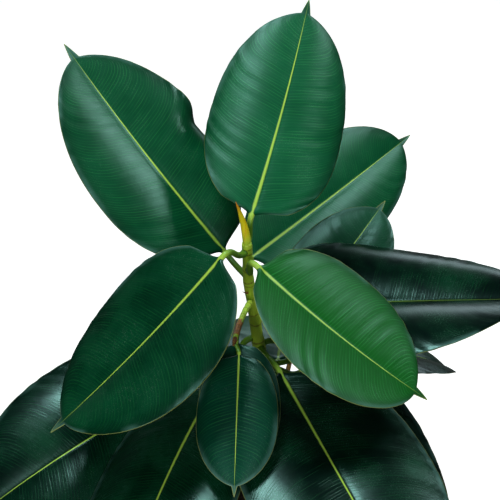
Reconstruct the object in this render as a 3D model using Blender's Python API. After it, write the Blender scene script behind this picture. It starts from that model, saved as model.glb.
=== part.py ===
"""Rubber plant in a plain clay pot: one stem, large leathery leaves, soil and a support cane.

Metres, +Z up.  The origin is the middle of the pot's underside.
"""

from math import cos, hypot, pi, radians, sin, sqrt
from typing import NamedTuple

import bmesh
import bpy
from mathutils import Vector

# ---------------------------------------------------------------- driving dimensions
GAP = 0.0003                 # air left between pieces that touch
EMBED_GAP = 0.0006           # air between the soil and what stands in it

POT_HEIGHT = 0.165
POT_RIM_RADIUS = 0.096
POT_RIM_HEIGHT = 0.034
POT_BASE_RADIUS = 0.064
POT_WALL = 0.006
POT_FLOOR = 0.010
POT_RIM_STEP = 0.005         # how far the rim band stands out from the body
POT_SIDES = 48
DRAIN_HOLE_RADIUS = 0.007
DRAIN_HOLE_CIRCLE = 0.038
DRAIN_HOLE_COUNT = 3

SOIL_LEVEL = 0.143
SOIL_CROWN = 0.004           # the soil stands a little higher in the middle
SOIL_BED = 0.095             # how deep the stem and the cane reach, measured from the base

STEM_BOTTOM = 0.100
STEM_ROUTE = [               # centre line of the main stem, from inside the soil to the top
    (0.009, 0.017, STEM_BOTTOM), (0.007, 0.013, 0.145), (0.002, 0.008, 0.200), (-0.008, -0.002, 0.300),
    (-0.018, -0.011, 0.387), (-0.023, -0.015, 0.435), (-0.0275, -0.0195, 0.475), (-0.029, -0.024, 0.520),
]
STEM_RADIUS_LOW = 0.0085
STEM_RADIUS_TOP = 0.0045
STEM_STATIONS = 36
STEM_SIDES = 12

SHEATH_LENGTH = 0.047
SHEATH_RADIUS = 0.0037
SHEATH_LEAN = -0.010         # the sheath's tip leans to the left

SHOOT_ROUTE = [(-0.0262, -0.0255, 0.4490), (-0.031, -0.046, 0.455), (-0.036, -0.069, 0.459), (-0.0395, -0.090, 0.4612)]
SHOOT_RADIUS = 0.0030

SIDE_BUD_TIP = (-0.0412, -0.1035, 0.4640)
SIDE_BUD_RADIUS = 0.0022

STIPULE_HEIGHT = 0.4585

CANE_BOTTOM = (-0.016, 0.040, 0.100)
CANE_TOP = (0.0215, 0.032, 0.352)
CANE_RADIUS = 0.0027

BLADE_THICKNESS = 0.0011
MIDRIB_DEPTH = 0.0020        # how far the midrib stands out below the blade at its base
PETIOLE_RADIUS = 0.0028
DRIP_TIP = 0.07              # share of the blade's length that is the drip tip
TUCK_END = 0.58              # share of the blade's length where a tucked margin comes back up
TUCK_FADE = 0.12
TUCK_PLACE = 0.5             # how far across the half the tuck starts
PETIOLE_BEND = 0.018         # longest reach of the bend at either end of a petiole


class Leaf(NamedTuple):
    """One leaf: where its petiole leaves the stem, where its blade starts, and how the blade lies.

    Angles are in degrees.  turn is the compass of the blade from +X towards +Y, and sweep is what it
    adds by the tip.  rise is its climb at the base and droop what it loses by the tip.  roll lowers the
    right-hand half, and twist adds to it by the tip.  fold lifts both halves like a V, and each half
    then curls down by its own curl.  tuck bends the right-hand margin down along the lower blade.
    """

    name: str
    node: float
    base: tuple
    turn: float
    rise: float
    droop: float
    sweep: float
    roll: float
    twist: float
    length: float
    width: float
    fold: float
    curl_left: float
    curl_right: float
    widest: float = 0.48
    tuck: float = 0.0


LEAVES = [
    Leaf("leaf_01", 0.519, (-0.025, -0.009, 0.540), 70, 33, 0, 6, 15, 4, 0.233, 0.140, 6, 41, 49, 0.47),
    Leaf("leaf_02", 0.511, (-0.0515, -0.058, 0.531), 218, -35, -1, -12, 0, 9, 0.222, 0.155, 12, 44, 24, 0.49),
    Leaf("leaf_03", 0.490, (-0.019, -0.0595, 0.5215), 332, -34, -4, 11, 4, 2, 0.199, 0.1425, 17, 25, 15, 0.51),
    Leaf("leaf_04", 0.476, (-0.050, 0.010, 0.483), 144.5, 37.5, 0, -8, -15, 11, 0.256, 0.150, 17, 30, 17, 0.43, 60),
    Leaf("leaf_05", 0.392, (-0.026, 0.090, 0.4115), 43, 9, 5, 6, 34, 10, 0.268, 0.1285, 15, 28, 41, 0.49),
    Leaf("leaf_06", 0.418, (-0.0095, 0.012, 0.4125), -1, 4, 0, -3, 13, -30, 0.286, 0.191, 28, 60, 44, 0.47),
    Leaf("leaf_07", 0.392, (-0.047, -0.019, 0.359), 216, 5, 30, -5, -17, -2, 0.304, 0.170, 18, 40, 36, 0.50),
    Leaf("leaf_08", 0.380, (0.0125, 0.0145, 0.371), 51, 24, 5, 3, 10, -1, 0.189, 0.105, 12, 24, 40),
    Leaf("leaf_09", 0.381, (0.003, -0.059, 0.390), 290, 1, 17, 7, -3, 2, 0.303, 0.178, 13, 26, 35, 0.50),
    Leaf("leaf_10", 0.374, (-0.059, -0.066, 0.379), 248, 1, 38, 2, 10, 0, 0.298, 0.145, 10, 35, 37, 0.51),
    Leaf("leaf_11", 0.357, (0.030, -0.029, 0.372), 299, -9, 51, 0, -1, -1, 0.280, 0.155, 14, 38, 35, 0.50),
    Leaf("leaf_12", 0.340, (0.026, 0.014, 0.321), 17, 15, 63, 1, -16.5, 1, 0.199, 0.122, 18, 37, 28, 0.50),
    Leaf("leaf_13", 0.312, (-0.030, 0.024, 0.318), 140, -8, 42, -6, 6, 0, 0.215, 0.125, 12, 36, 34, 0.50),
    Leaf("leaf_14", 0.290, (0.004, 0.052, 0.300), 84, -6, 46, 6, -4, 4, 0.220, 0.128, 12, 34, 38, 0.50),
]

YOUNG_LEAVES = [
    Leaf("young_leaf_1", 0.0, (-0.036, -0.098, 0.4495), 268, -22, 13, 0, 3, 0, 0.133, 0.076, 11, 35, 36, 0.51),
    Leaf("young_leaf_2", 0.0, (-0.038, -0.0815, 0.4485), 273, -22, 13, 0, 0, 0, 0.128, 0.076, 11, 35, 34, 0.50),
]
YOUNG_PETIOLE_STARTS = [(-0.0390, -0.0925, 0.4560), (-0.0373, -0.0740, 0.4545)]
YOUNG_PETIOLE_RADIUS = 0.0017

# Stations along a blade, as shares of its length, closest together where the outline turns fastest.
BLADE_STATIONS = [
    0.0, 0.02, 0.05, 0.09, 0.14, 0.20, 0.27, 0.34, 0.41, 0.48, 0.55,
    0.62, 0.69, 0.76, 0.82, 0.87, 0.91, 0.94, 0.965, 0.985, 1.0,
]
PETIOLE_STATIONS = 6
# Places across a blade, from the left margin (-1) to the right (+1), over the top and back below.
TOP_PLACES = [-1.0, -0.75, -0.5, -0.25, 0.0, 0.25, 0.5, 0.75, 1.0]
UNDER_PLACES = [0.75, 0.5, 0.25, 0.05, 0.0, -0.05, -0.25, -0.5, -0.75]

# ---------------------------------------------------------------- materials
FINISHES = {                 # name: (colour, roughness, coat)
    "leaf": ((0.012, 0.075, 0.035), 0.28, 0.35),
    "young_leaf": ((0.014, 0.100, 0.045), 0.28, 0.35),
    "stem": ((0.23, 0.30, 0.07), 0.55, 0.0),
    "sheath": ((0.55, 0.38, 0.06), 0.45, 0.1),
    "dry_husk": ((0.22, 0.09, 0.035), 0.8, 0.0),
    "cane": ((0.52, 0.27, 0.10), 0.6, 0.0),
    "clay": ((0.48, 0.17, 0.08), 0.85, 0.0),
    "soil": ((0.035, 0.022, 0.014), 0.95, 0.0),
}


def finish(name):
    """The Principled material of one finish, made the first time it is asked for."""
    if name in bpy.data.materials:
        return bpy.data.materials[name]
    colour, roughness, coat = FINISHES[name]
    material = bpy.data.materials.new(name)
    material.use_nodes = True
    shader = material.node_tree.nodes["Principled BSDF"]
    shader.inputs["Base Color"].default_value = (*colour, 1.0)
    shader.inputs["Roughness"].default_value = roughness
    shader.inputs["Metallic"].default_value = 0.0
    shader.inputs["Coat Weight"].default_value = coat
    return material


# ---------------------------------------------------------------- shared construction
def add_piece(name, bm, finish_name, smooth_angle=radians(40)):
    """Turn a bmesh into a named object with outward faces, smooth shading and its own finish."""
    bmesh.ops.recalc_face_normals(bm, faces=bm.faces)
    mesh = bpy.data.meshes.new(name)
    bm.to_mesh(mesh)
    bm.free()
    mesh.materials.append(finish(finish_name))
    mesh.shade_smooth()
    mesh.set_sharp_from_angle(angle=smooth_angle)
    piece = bpy.data.objects.new(name, mesh)
    bpy.context.collection.objects.link(piece)
    return piece


def loft(rings):
    """A closed skin through rings of equally many points: a capped first ring, extruded on and on."""
    bm = bmesh.new()
    first = bmesh.ops.create_circle(bm, cap_ends=False, radius=0.001, segments=len(rings[0]))
    verts = first["verts"]
    edges = list(bm.edges)
    for vert, point in zip(verts, rings[0]):
        vert.co = point
    bmesh.ops.contextual_create(bm, geom=edges)
    for ring in rings[1:]:
        grown = bmesh.ops.extrude_edge_only(bm, edges=edges)["geom"]
        edges = [item for item in grown if isinstance(item, bmesh.types.BMEdge)]
        new_verts = []
        for vert in verts:
            partner = next(e.other_vert(vert) for e in vert.link_edges if e.other_vert(vert) in grown)
            new_verts.append(partner)
        for vert, point in zip(new_verts, ring):
            vert.co = point
        verts = new_verts
    bmesh.ops.contextual_create(bm, geom=edges)
    return bm


def turned(profile, sides):
    """Turn a closed (radius, height) profile about Z; points on the axis share one vertex."""
    bm = bmesh.new()
    verts = [bm.verts.new((radius, 0.0, height)) for radius, height in profile]
    edges = [bm.edges.new(pair) for pair in zip(verts, verts[1:])]
    bmesh.ops.spin(
        bm, geom=verts + edges, cent=(0, 0, 0), axis=(0, 0, 1), angle=2 * pi, steps=sides, use_merge=True
    )
    bmesh.ops.remove_doubles(bm, verts=bm.verts, dist=1e-6)
    return bm


def smooth_route(points, count):
    """Evenly counted points on a Catmull-Rom curve through the given ones."""
    p = [Vector(point) for point in points]
    p = [2 * p[0] - p[1], *p, 2 * p[-1] - p[-2]]
    spans = len(p) - 3
    route = []
    for i in range(count):
        place = i / (count - 1) * spans
        k = min(int(place), spans - 1)
        t = place - k
        a, b, c, d = p[k:k + 4]
        route.append(0.5 * ((2 * b) + (c - a) * t + (2 * a - 5 * b + 4 * c - d) * t * t
                            + (3 * b - a - 3 * c + d) * t ** 3))
    return route


def tube_rings(route, radii, sides, side_hint=Vector((1, 0, 0))):
    """Rings of points square to a route, each with its own radius."""
    rings = []
    for i, centre in enumerate(route):
        ahead = route[min(i + 1, len(route) - 1)] - route[max(i - 1, 0)]
        ahead.normalize()
        side = (side_hint - ahead * side_hint.dot(ahead)).normalized()
        up = ahead.cross(side)
        rings.append([
            centre + radii[i] * (cos(2 * pi * j / sides) * side + sin(2 * pi * j / sides) * up)
            for j in range(sides)
        ])
    return rings


def cut(piece, cutter):
    """Take the cutter's shape out of a piece, and keep the cutter out of the model."""
    cutter.hide_render = True
    cutter.display_type = "WIRE"
    step = piece.modifiers.new("cut_" + cutter.name, "BOOLEAN")
    step.operation = "DIFFERENCE"
    step.solver = "EXACT"
    step.object = cutter


def stem_point(height):
    """The stem's centre at a height, read from its smooth route."""
    route = smooth_route(STEM_ROUTE, 200)
    for low, high in zip(route, route[1:]):
        if low.z <= height <= high.z:
            return low.lerp(high, (height - low.z) / (high.z - low.z))
    return route[-1].copy() if height > route[0].z else route[0].copy()


def stem_radius(height):
    """The stem tapers from the soil to its growing top."""
    share = (height - STEM_BOTTOM) / (STEM_ROUTE[-1][2] - STEM_BOTTOM)
    return STEM_RADIUS_LOW + (STEM_RADIUS_TOP - STEM_RADIUS_LOW) * min(max(share, 0.0), 1.0) ** 1.3


# ---------------------------------------------------------------- the leaf
def half_width(share, leaf):
    """Half the blade's width at a share of its length: an oval blade, then a narrow drip tip."""
    s = min(share / (1 - DRIP_TIP), 1.0)
    if s < leaf.widest:
        oval = (1 - ((leaf.widest - s) / leaf.widest) ** 2.3) ** 0.55
    else:
        oval = (1 - ((s - leaf.widest) / (1 - leaf.widest)) ** 2.25) ** 0.62
    tip = 0.035 * min(max((1 - share) / DRIP_TIP, 0.0), 1.0) ** 0.8 if share > 0.8 else 0.0
    return max(hypot(oval * leaf.width / 2, tip * leaf.width), 0.0006)


def blade_axis(leaf, stations):
    """Centre and direction angles of the blade at each station, walked along in small steps."""
    steps = 200
    places = []
    point = Vector(leaf.base)
    wanted = [round(s * steps) for s in stations]
    for i in range(steps + 1):
        s = i / steps
        turn = radians(leaf.turn + leaf.sweep * s)
        climb = radians(leaf.rise - leaf.droop * s)
        ahead = Vector((cos(climb) * cos(turn), cos(climb) * sin(turn), sin(climb)))
        if i in wanted:
            places.append((point.copy(), ahead, turn))
        point += ahead * leaf.length / steps
    return places


def eased(share):
    """A share held between 0 and 1, with a soft start and a soft end."""
    share = min(max(share, 0.0), 1.0)
    return share * share * (3 - 2 * share)


def across_blade(place, share, leaf, width):
    """Sideways reach, height and slope of a place across the blade, bent by the fold and the curl."""
    curl = leaf.curl_right if place > 0 else leaf.curl_left
    curl *= sin(pi * min(max(share, 0.02), 0.98)) ** 0.5
    tuck = leaf.tuck * eased((TUCK_END - share) / TUCK_FADE) if place > 0 else 0.0
    steps = 12
    reach = height = 0.0
    angle = radians(leaf.fold)
    for i in range(steps):
        t = abs(place) * (i + 0.5) / steps
        outer = max((t - TUCK_PLACE) / (1 - TUCK_PLACE), 0.0)
        angle = radians(leaf.fold - curl * t - tuck * outer)
        reach += cos(angle) * width * abs(place) / steps
        height += sin(angle) * width * abs(place) / steps
    if place < 0:
        return -reach, height, -angle
    return reach, height, angle if place > 0 else 0.0


def blade_rings(leaf, petiole_radius):
    """Rings round the blade, from the round end of its petiole to the drip tip."""
    rings = []
    for s, (centre, ahead, turn) in zip(BLADE_STATIONS, blade_axis(leaf, BLADE_STATIONS)):
        level = Vector((sin(turn), -cos(turn), 0.0))
        above = level.cross(ahead)
        roll = radians(leaf.roll + leaf.twist * s)
        side = level * cos(roll) - above * sin(roll)
        lift = above * cos(roll) + level * sin(roll)
        width = half_width(s, leaf)
        flat = min(s / 0.05, 1.0)
        radius = petiole_radius * (1 - 0.6 * s)
        ring = []
        places = [(t, 0.0) for t in TOP_PLACES] + [(t, 1.0) for t in UNDER_PLACES]
        for j, (t, under) in enumerate(places):
            reach, height, slope = across_blade(t, s, leaf, width)
            if t in (0.05, -0.05):
                reach = min(0.0016, 0.5 * width) * (1 if t > 0 else -1)
                height = slope = 0.0
            rib = MIDRIB_DEPTH * (1 - s) ** 0.8 * petiole_radius / PETIOLE_RADIUS if abs(t) <= 0.05 else 0.0
            deep = under * (BLADE_THICKNESS + rib * (1.0 if t == 0.0 else 0.7))
            reach += deep * sin(slope)
            height -= deep * cos(slope)
            angle = pi - 2 * pi * j / len(places)
            round_x = radius * cos(angle)
            round_y = radius * sin(angle) - 0.4 * radius
            ring.append(
                centre
                + side * (flat * reach + (1 - flat) * round_x)
                + lift * (flat * height + (1 - flat) * round_y)
            )
        rings.append(ring)
    return rings


def petiole_rings(leaf, start, leave, radius, count):
    """Rings from beside the stem to the blade's base, along one smooth bend."""
    centre, ahead, turn = blade_axis(leaf, [0.0])[0]
    level = Vector((sin(turn), -cos(turn), 0.0))
    roll = radians(leaf.roll)
    above = level.cross(ahead)
    side = level * cos(roll) - above * sin(roll)
    lift = above * cos(roll) + level * sin(roll)
    end = centre - lift * 0.4 * radius
    bend = min(0.38 * (end - start).length, PETIOLE_BEND)
    first = start + leave * bend
    last = end - ahead * bend
    points = len(TOP_PLACES) + len(UNDER_PLACES)
    rings = []
    for i in range(count):
        t = i / count
        spot = ((1 - t) ** 3 * start + 3 * t * (1 - t) ** 2 * first
                + 3 * t * t * (1 - t) * last + t ** 3 * end)
        along = (3 * (1 - t) ** 2 * (first - start) + 6 * t * (1 - t) * (last - first)
                 + 3 * t * t * (end - last)).normalized()
        across = (side - along * side.dot(along)).normalized()
        upward = across.cross(along)
        girth = radius * (1.15 - 0.15 * t)
        rings.append([
            spot + girth * (cos(pi - 2 * pi * j / points) * across + sin(pi - 2 * pi * j / points) * upward)
            for j in range(points)
        ])
    return rings


def make_leaf(leaf, start, leave, radius, finish_name):
    rings = petiole_rings(leaf, start, leave, radius, PETIOLE_STATIONS) + blade_rings(leaf, radius)
    bm = loft(rings)
    # The same diagonals on both faces keep a twisted blade equally thick everywhere.
    bmesh.ops.triangulate(bm, faces=bm.faces, quad_method="SHORT_EDGE")
    return add_piece(leaf.name, bm, finish_name, smooth_angle=radians(60))


def make_stem_leaves():
    """The big leaves: each petiole starts just clear of the stem, on the side its blade lies."""
    for leaf in LEAVES:
        centre = stem_point(leaf.node)
        outward = Vector(leaf.base) - centre
        outward.z = 0.0
        outward.normalize()
        start = centre + outward * (stem_radius(leaf.node) + 2 * GAP)
        make_leaf(leaf, start, outward, PETIOLE_RADIUS, "leaf")


def make_young_leaves():
    """The two small leaves that hang from the side shoot's end."""
    for leaf, start in zip(YOUNG_LEAVES, YOUNG_PETIOLE_STARTS):
        start = Vector(start)
        leave = (Vector(leaf.base) - start).normalized()
        make_leaf(leaf, start, leave, YOUNG_PETIOLE_RADIUS, "young_leaf")


# ---------------------------------------------------------------- stems, sheaths and cane
def make_main_stem():
    route = smooth_route(STEM_ROUTE, STEM_STATIONS)
    radii = [stem_radius(point.z) for point in route]
    add_piece("main_stem", loft(tube_rings(route, radii, STEM_SIDES)), "stem")


def make_bud_sheath():
    """A slender horn on the stem's top that wraps the next leaf."""
    top = stem_point(STEM_ROUTE[-1][2])
    rings = []
    for share, swell in ((0.0, 0.8), (0.12, 1.0), (0.3, 0.95), (0.5, 0.75), (0.7, 0.5), (0.88, 0.26), (1.0, 0.08)):
        centre = top + Vector((SHEATH_LEAN * share ** 1.5, 0.0, 2 * GAP + SHEATH_LENGTH * share))
        rings.append([
            centre + SHEATH_RADIUS * swell * Vector((cos(2 * pi * j / 10), sin(2 * pi * j / 10), 0.0))
            for j in range(10)
        ])
    add_piece("bud_sheath", loft(rings), "sheath")


def make_side_shoot():
    route = smooth_route(SHOOT_ROUTE, 9)
    radii = [SHOOT_RADIUS * (1.0 - 0.2 * i / 8) for i in range(9)]
    add_piece("side_shoot", loft(tube_rings(route, radii, 8)), "stem")


def make_side_bud():
    """The small brown sheath that closes the side shoot's end."""
    end = Vector(SHOOT_ROUTE[-1])
    tip = Vector(SIDE_BUD_TIP)
    ahead = (tip - end).normalized()
    route = [end + ahead * 2 * GAP + (tip - end) * share for share in (0.0, 0.3, 0.65, 1.0)]
    radii = [SIDE_BUD_RADIUS * swell for swell in (0.9, 1.0, 0.7, 0.15)]
    add_piece("side_bud", loft(tube_rings(route, radii, 8)), "dry_husk")


def make_dried_stipule():
    """A curled papery scale that still clings to a node of the stem."""
    centre = stem_point(STIPULE_HEIGHT)
    radius = stem_radius(STIPULE_HEIGHT)
    rings = []
    for share in (0.0, 0.25, 0.5, 0.75, 1.0):
        spread = radians(255 - 70 * share)
        outward = Vector((cos(spread), sin(spread), 0.0))
        middle = centre + outward * (radius + 3 * GAP) + Vector((0, 0, 0.0035 * (0.5 - share)))
        tall = 0.0032 * (1 - 0.6 * share)
        thick = 0.0012
        rings.append([
            middle + outward * (out * thick) + Vector((0, 0, up * tall))
            for out, up in ((0.0, -0.5), (1.0, -0.5), (1.6, 0.5), (0.6, 0.5))
        ])
    add_piece("dried_stipule", loft(rings), "dry_husk")


def make_cane():
    low, high = Vector(CANE_BOTTOM), Vector(CANE_TOP)
    route = [low.lerp(high, i / 4) for i in range(5)]
    add_piece("cane", loft(tube_rings(route, [CANE_RADIUS] * 5, 10)), "cane")


# ---------------------------------------------------------------- pot and soil
def pot_inner_radius(height):
    """Inside radius of the tapering pot body."""
    body_top = POT_RIM_RADIUS - POT_RIM_STEP
    share = height / (POT_HEIGHT - POT_RIM_HEIGHT)
    return POT_BASE_RADIUS + (body_top - POT_BASE_RADIUS) * share - POT_WALL


def make_pot():
    """A turned clay pot: tapering body, thick rim band, flat foot and drain holes."""
    body_top = POT_RIM_RADIUS - POT_RIM_STEP
    shoulder = POT_HEIGHT - POT_RIM_HEIGHT
    inner_rim = POT_RIM_RADIUS - POT_WALL - 0.002
    profile = [
        (0.0, 0.0), (POT_BASE_RADIUS - 0.002, 0.0), (POT_BASE_RADIUS, 0.002),
        (body_top - 0.0015, shoulder), (POT_RIM_RADIUS - 0.002, shoulder + 0.001),
        (POT_RIM_RADIUS - 0.001, shoulder + 0.003),
        (POT_RIM_RADIUS, POT_HEIGHT - 0.003), (POT_RIM_RADIUS - 0.002, POT_HEIGHT),
        (inner_rim + 0.002, POT_HEIGHT), (inner_rim, POT_HEIGHT - 0.003),
        (pot_inner_radius(shoulder), shoulder - 0.002), (pot_inner_radius(POT_FLOOR), POT_FLOOR), (0.0, POT_FLOOR),
    ]
    pot = add_piece("pot", turned(profile, POT_SIDES), "clay")
    for i in range(DRAIN_HOLE_COUNT):
        angle = 2 * pi * (i + 0.25) / DRAIN_HOLE_COUNT
        bm = bmesh.new()
        bmesh.ops.create_cone(
            bm, cap_ends=True, segments=16, radius1=DRAIN_HOLE_RADIUS, radius2=DRAIN_HOLE_RADIUS, depth=0.03
        )
        hole = add_piece(f"drain_hole_{i + 1}", bm, "clay")
        hole.location = (DRAIN_HOLE_CIRCLE * cos(angle), DRAIN_HOLE_CIRCLE * sin(angle), POT_FLOOR / 2)
        cut(pot, hole)


def make_soil():
    """Potting mix up to just under the rim, hollow where the stem and the cane stand in it."""
    wall_gap = 2 * GAP
    shoulder = POT_HEIGHT - POT_RIM_HEIGHT - 0.002
    rim_inner = POT_RIM_RADIUS - POT_WALL - 0.002
    at_level = pot_inner_radius(shoulder) + (rim_inner - pot_inner_radius(shoulder)) * (
        (SOIL_LEVEL - shoulder) / (POT_HEIGHT - 0.003 - shoulder))
    profile = [
        (0.0, POT_FLOOR + GAP), (pot_inner_radius(POT_FLOOR) - wall_gap, POT_FLOOR + GAP),
        (pot_inner_radius(shoulder) - wall_gap, shoulder), (at_level - wall_gap, SOIL_LEVEL),
        (0.055, SOIL_LEVEL + 0.5 * SOIL_CROWN), (0.0, SOIL_LEVEL + SOIL_CROWN),
    ]
    soil = add_piece("soil", turned(profile, POT_SIDES), "soil")
    cut(soil, stem_hollow())
    cut(soil, cane_hollow())


def stem_hollow():
    route = [SOIL_BED, 0.110, 0.125, 0.140, 0.160]
    centres = [stem_point(max(height, STEM_BOTTOM)) for height in route]
    for centre, height in zip(centres, route):
        centre.z = height
    radii = [stem_radius(height) + EMBED_GAP for height in route]
    return add_piece("stem_hollow", loft(tube_rings(centres, radii, STEM_SIDES)), "soil")


def cane_hollow():
    low, high = Vector(CANE_BOTTOM), Vector(CANE_TOP)
    ahead = (high - low).normalized()
    route = [low - ahead * 0.002, low + ahead * 0.07]
    return add_piece("cane_hollow", loft(tube_rings(route, [CANE_RADIUS + EMBED_GAP] * 2, 10)), "soil")


def main():
    for old in list(bpy.data.objects):
        bpy.data.objects.remove(old)
    make_pot()
    make_soil()
    make_cane()
    make_main_stem()
    make_bud_sheath()
    make_side_shoot()
    make_side_bud()
    make_dried_stipule()
    make_stem_leaves()
    make_young_leaves()


main()
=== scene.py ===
"""Rubber plant in a plain clay pot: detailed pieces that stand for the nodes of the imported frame.

Laid out as a Blender add-on and run as a script.  Metres, +Z up, origin under the pot's middle.
"""

from math import cos, pi, radians, sin
from typing import NamedTuple

import bmesh
import bpy
import numpy as np
from mathutils import Matrix, Vector, noise


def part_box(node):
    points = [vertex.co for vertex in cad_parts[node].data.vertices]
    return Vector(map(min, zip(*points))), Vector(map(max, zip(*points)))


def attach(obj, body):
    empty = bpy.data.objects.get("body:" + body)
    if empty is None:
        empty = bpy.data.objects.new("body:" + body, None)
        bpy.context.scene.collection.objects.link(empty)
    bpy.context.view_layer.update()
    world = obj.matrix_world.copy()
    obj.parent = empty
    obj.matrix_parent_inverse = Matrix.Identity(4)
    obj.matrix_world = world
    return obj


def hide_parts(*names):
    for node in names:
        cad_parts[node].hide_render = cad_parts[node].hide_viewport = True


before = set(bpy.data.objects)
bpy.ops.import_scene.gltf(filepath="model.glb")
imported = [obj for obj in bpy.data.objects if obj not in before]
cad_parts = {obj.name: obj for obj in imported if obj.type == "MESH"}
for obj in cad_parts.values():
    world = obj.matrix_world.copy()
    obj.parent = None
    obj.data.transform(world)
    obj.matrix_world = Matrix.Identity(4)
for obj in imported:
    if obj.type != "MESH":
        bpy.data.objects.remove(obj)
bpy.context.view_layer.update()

bl_info = {
    "name": "Potted rubber plant",
    "version": (1, 0, 0),
    "blender": (4, 5, 0),
    "location": "View3D > Sidebar > Rubber plant",
    "description": "Builds a rubber plant in a clay pot, leaf by leaf",
    "category": "Object",
}

GAP = 0.0003                 # air left between pieces that touch
DRIP_TIP = 0.07              # share of a blade's length that is the drip tip
TUCK_END, TUCK_FADE, TUCK_PLACE = 0.58, 0.12, 0.5
PETIOLE_BEND = 0.018         # longest reach of the bend at either end of a petiole
FIT_SLACK = 0.004            # how far a detailed piece's box may differ from its node's
BLADE_RINGS, PETIOLE_RINGS = 300, 30
RING_CROWDING = 0.54         # how much closer a blade's rings stand at its base and tip
RIPPLE_HEIGHT = 0.00005      # fine waves that run with the side veins
SWELL_HEIGHT = 0.00040       # slower waves that grow towards the margin
SHOOT_LENGTH, CANE_LENGTH = 0.066, 0.256
POT_STEP, POT_TURNS = 0.0022, 144
SOIL_STEP, SOIL_TURNS = 0.0026, 150
GRAIN_DRAWS, GRAIN_SEED = 950, 7


class Leaf(NamedTuple):
    """Where a leaf's petiole leaves the stem, where its blade starts, and how the blade lies.

    Angles are in degrees.  turn is the compass of the blade from +X towards +Y, and sweep is what it
    adds by the tip.  rise is its climb at the base and droop what it loses by the tip.  roll lowers the
    right-hand half, and twist adds to it by the tip.  fold lifts both halves like a V, and each half
    then curls down by its own curl.  tuck bends the right-hand margin down along the lower blade.
    tone is how bright its green is, from -1 to 1: partly the leaf's own colour, mostly painted shade and
    painted light, dark on the lower leaves that lie in shade and bright on leaf_03 that faces the light.  rib
    is how clearly its midrib shows, from 0 to 1, turned down on the shaded leaf_06 as painted shade.
    """

    node: str
    height: float
    base: tuple
    turn: float
    rise: float
    droop: float
    sweep: float
    roll: float
    twist: float
    length: float
    width: float
    fold: float
    curl_left: float
    curl_right: float
    widest: float
    tuck: float = 0.0
    tone: float = 0.0
    rib: float = 1.0


# The tone numbers below are mostly painted shade and painted light: the lower leaves, in the shade of those
# above, are dark, and leaf_03, which faces the light, is bright.
BIG_LEAVES = [
    Leaf("leaf_01", 0.519, (-0.025, -0.009, 0.540), 70, 33, 0, 6, 15, 4, 0.233, 0.140, 6, 41, 49,
         0.47, tone=0.5),
    Leaf("leaf_02", 0.511, (-0.0515, -0.058, 0.531), 218, -35, -1, -12, 0, 9, 0.222, 0.155, 12, 44,
         24, 0.49, tone=-0.45),
    Leaf("leaf_03", 0.490, (-0.019, -0.0595, 0.5215), 332, -34, -4, 11, 4, 2, 0.199, 0.1425, 17, 25,
         15, 0.51, tone=1.0),
    Leaf("leaf_04", 0.476, (-0.050, 0.010, 0.483), 144.5, 37.5, 0, -8, -15, 11, 0.256, 0.150, 17, 30,
         17, 0.43, tuck=60, tone=0.0),
    Leaf("leaf_05", 0.392, (-0.026, 0.090, 0.4115), 43, 9, 5, 6, 34, 10, 0.268, 0.1285, 15, 28, 41,
         0.49, tone=0.35),
    # leaf_06 lies in the shade of the leaves above it: its lowest tone number and its midrib turned down to a
    # quarter are painted shade.
    Leaf("leaf_06", 0.418, (-0.0095, 0.012, 0.4125), -1, 4, 0, -3, 13, -30, 0.286, 0.191, 28, 60, 44,
         0.47, tone=-1.0, rib=0.25),
    Leaf("leaf_07", 0.392, (-0.047, -0.019, 0.359), 216, 5, 30, -5, -17, -2, 0.304, 0.170, 18, 40,
         36, 0.50, tone=-0.9),
    Leaf("leaf_08", 0.380, (0.0125, 0.0145, 0.371), 51, 24, 5, 3, 10, -1, 0.189, 0.105, 12, 24, 40,
         0.48, tone=-0.3),
    Leaf("leaf_09", 0.381, (0.003, -0.059, 0.390), 290, 1, 17, 7, -3, 2, 0.303, 0.178, 13, 26, 35,
         0.50, tone=-1.0),
    Leaf("leaf_10", 0.374, (-0.059, -0.066, 0.379), 248, 1, 38, 2, 10, 0, 0.298, 0.145, 10, 35, 37,
         0.51, tone=-0.75),
    Leaf("leaf_11", 0.357, (0.030, -0.029, 0.372), 299, -9, 51, 0, -1, -1, 0.280, 0.155, 14, 38, 35,
         0.50, tone=-0.95),
    Leaf("leaf_12", 0.340, (0.026, 0.014, 0.321), 17, 15, 63, 1, -16.5, 1, 0.199, 0.122, 18, 37, 28,
         0.50, tone=-0.8),
    Leaf("leaf_13", 0.312, (-0.030, 0.024, 0.318), 140, -8, 42, -6, 6, 0, 0.215, 0.125, 12, 36, 34,
         0.50, tone=-0.2),
    Leaf("leaf_14", 0.290, (0.004, 0.052, 0.300), 84, -6, 46, 6, -4, 4, 0.220, 0.128, 12, 34, 38,
         0.50, tone=-0.2),
]
SMALL_LEAVES = [
    Leaf("young_leaf_1", 0.0, (-0.036, -0.098, 0.4495), 268, -22, 13, 0, 3, 0, 0.133, 0.076, 11, 35,
         36, 0.51),
    Leaf("young_leaf_2", 0.0, (-0.038, -0.0815, 0.4485), 273, -22, 13, 0, 0, 0, 0.128, 0.076, 11, 35,
         34, 0.50),
]
SMALL_PETIOLE_STARTS = [(-0.0390, -0.0925, 0.4560), (-0.0373, -0.0740, 0.4545)]

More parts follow.
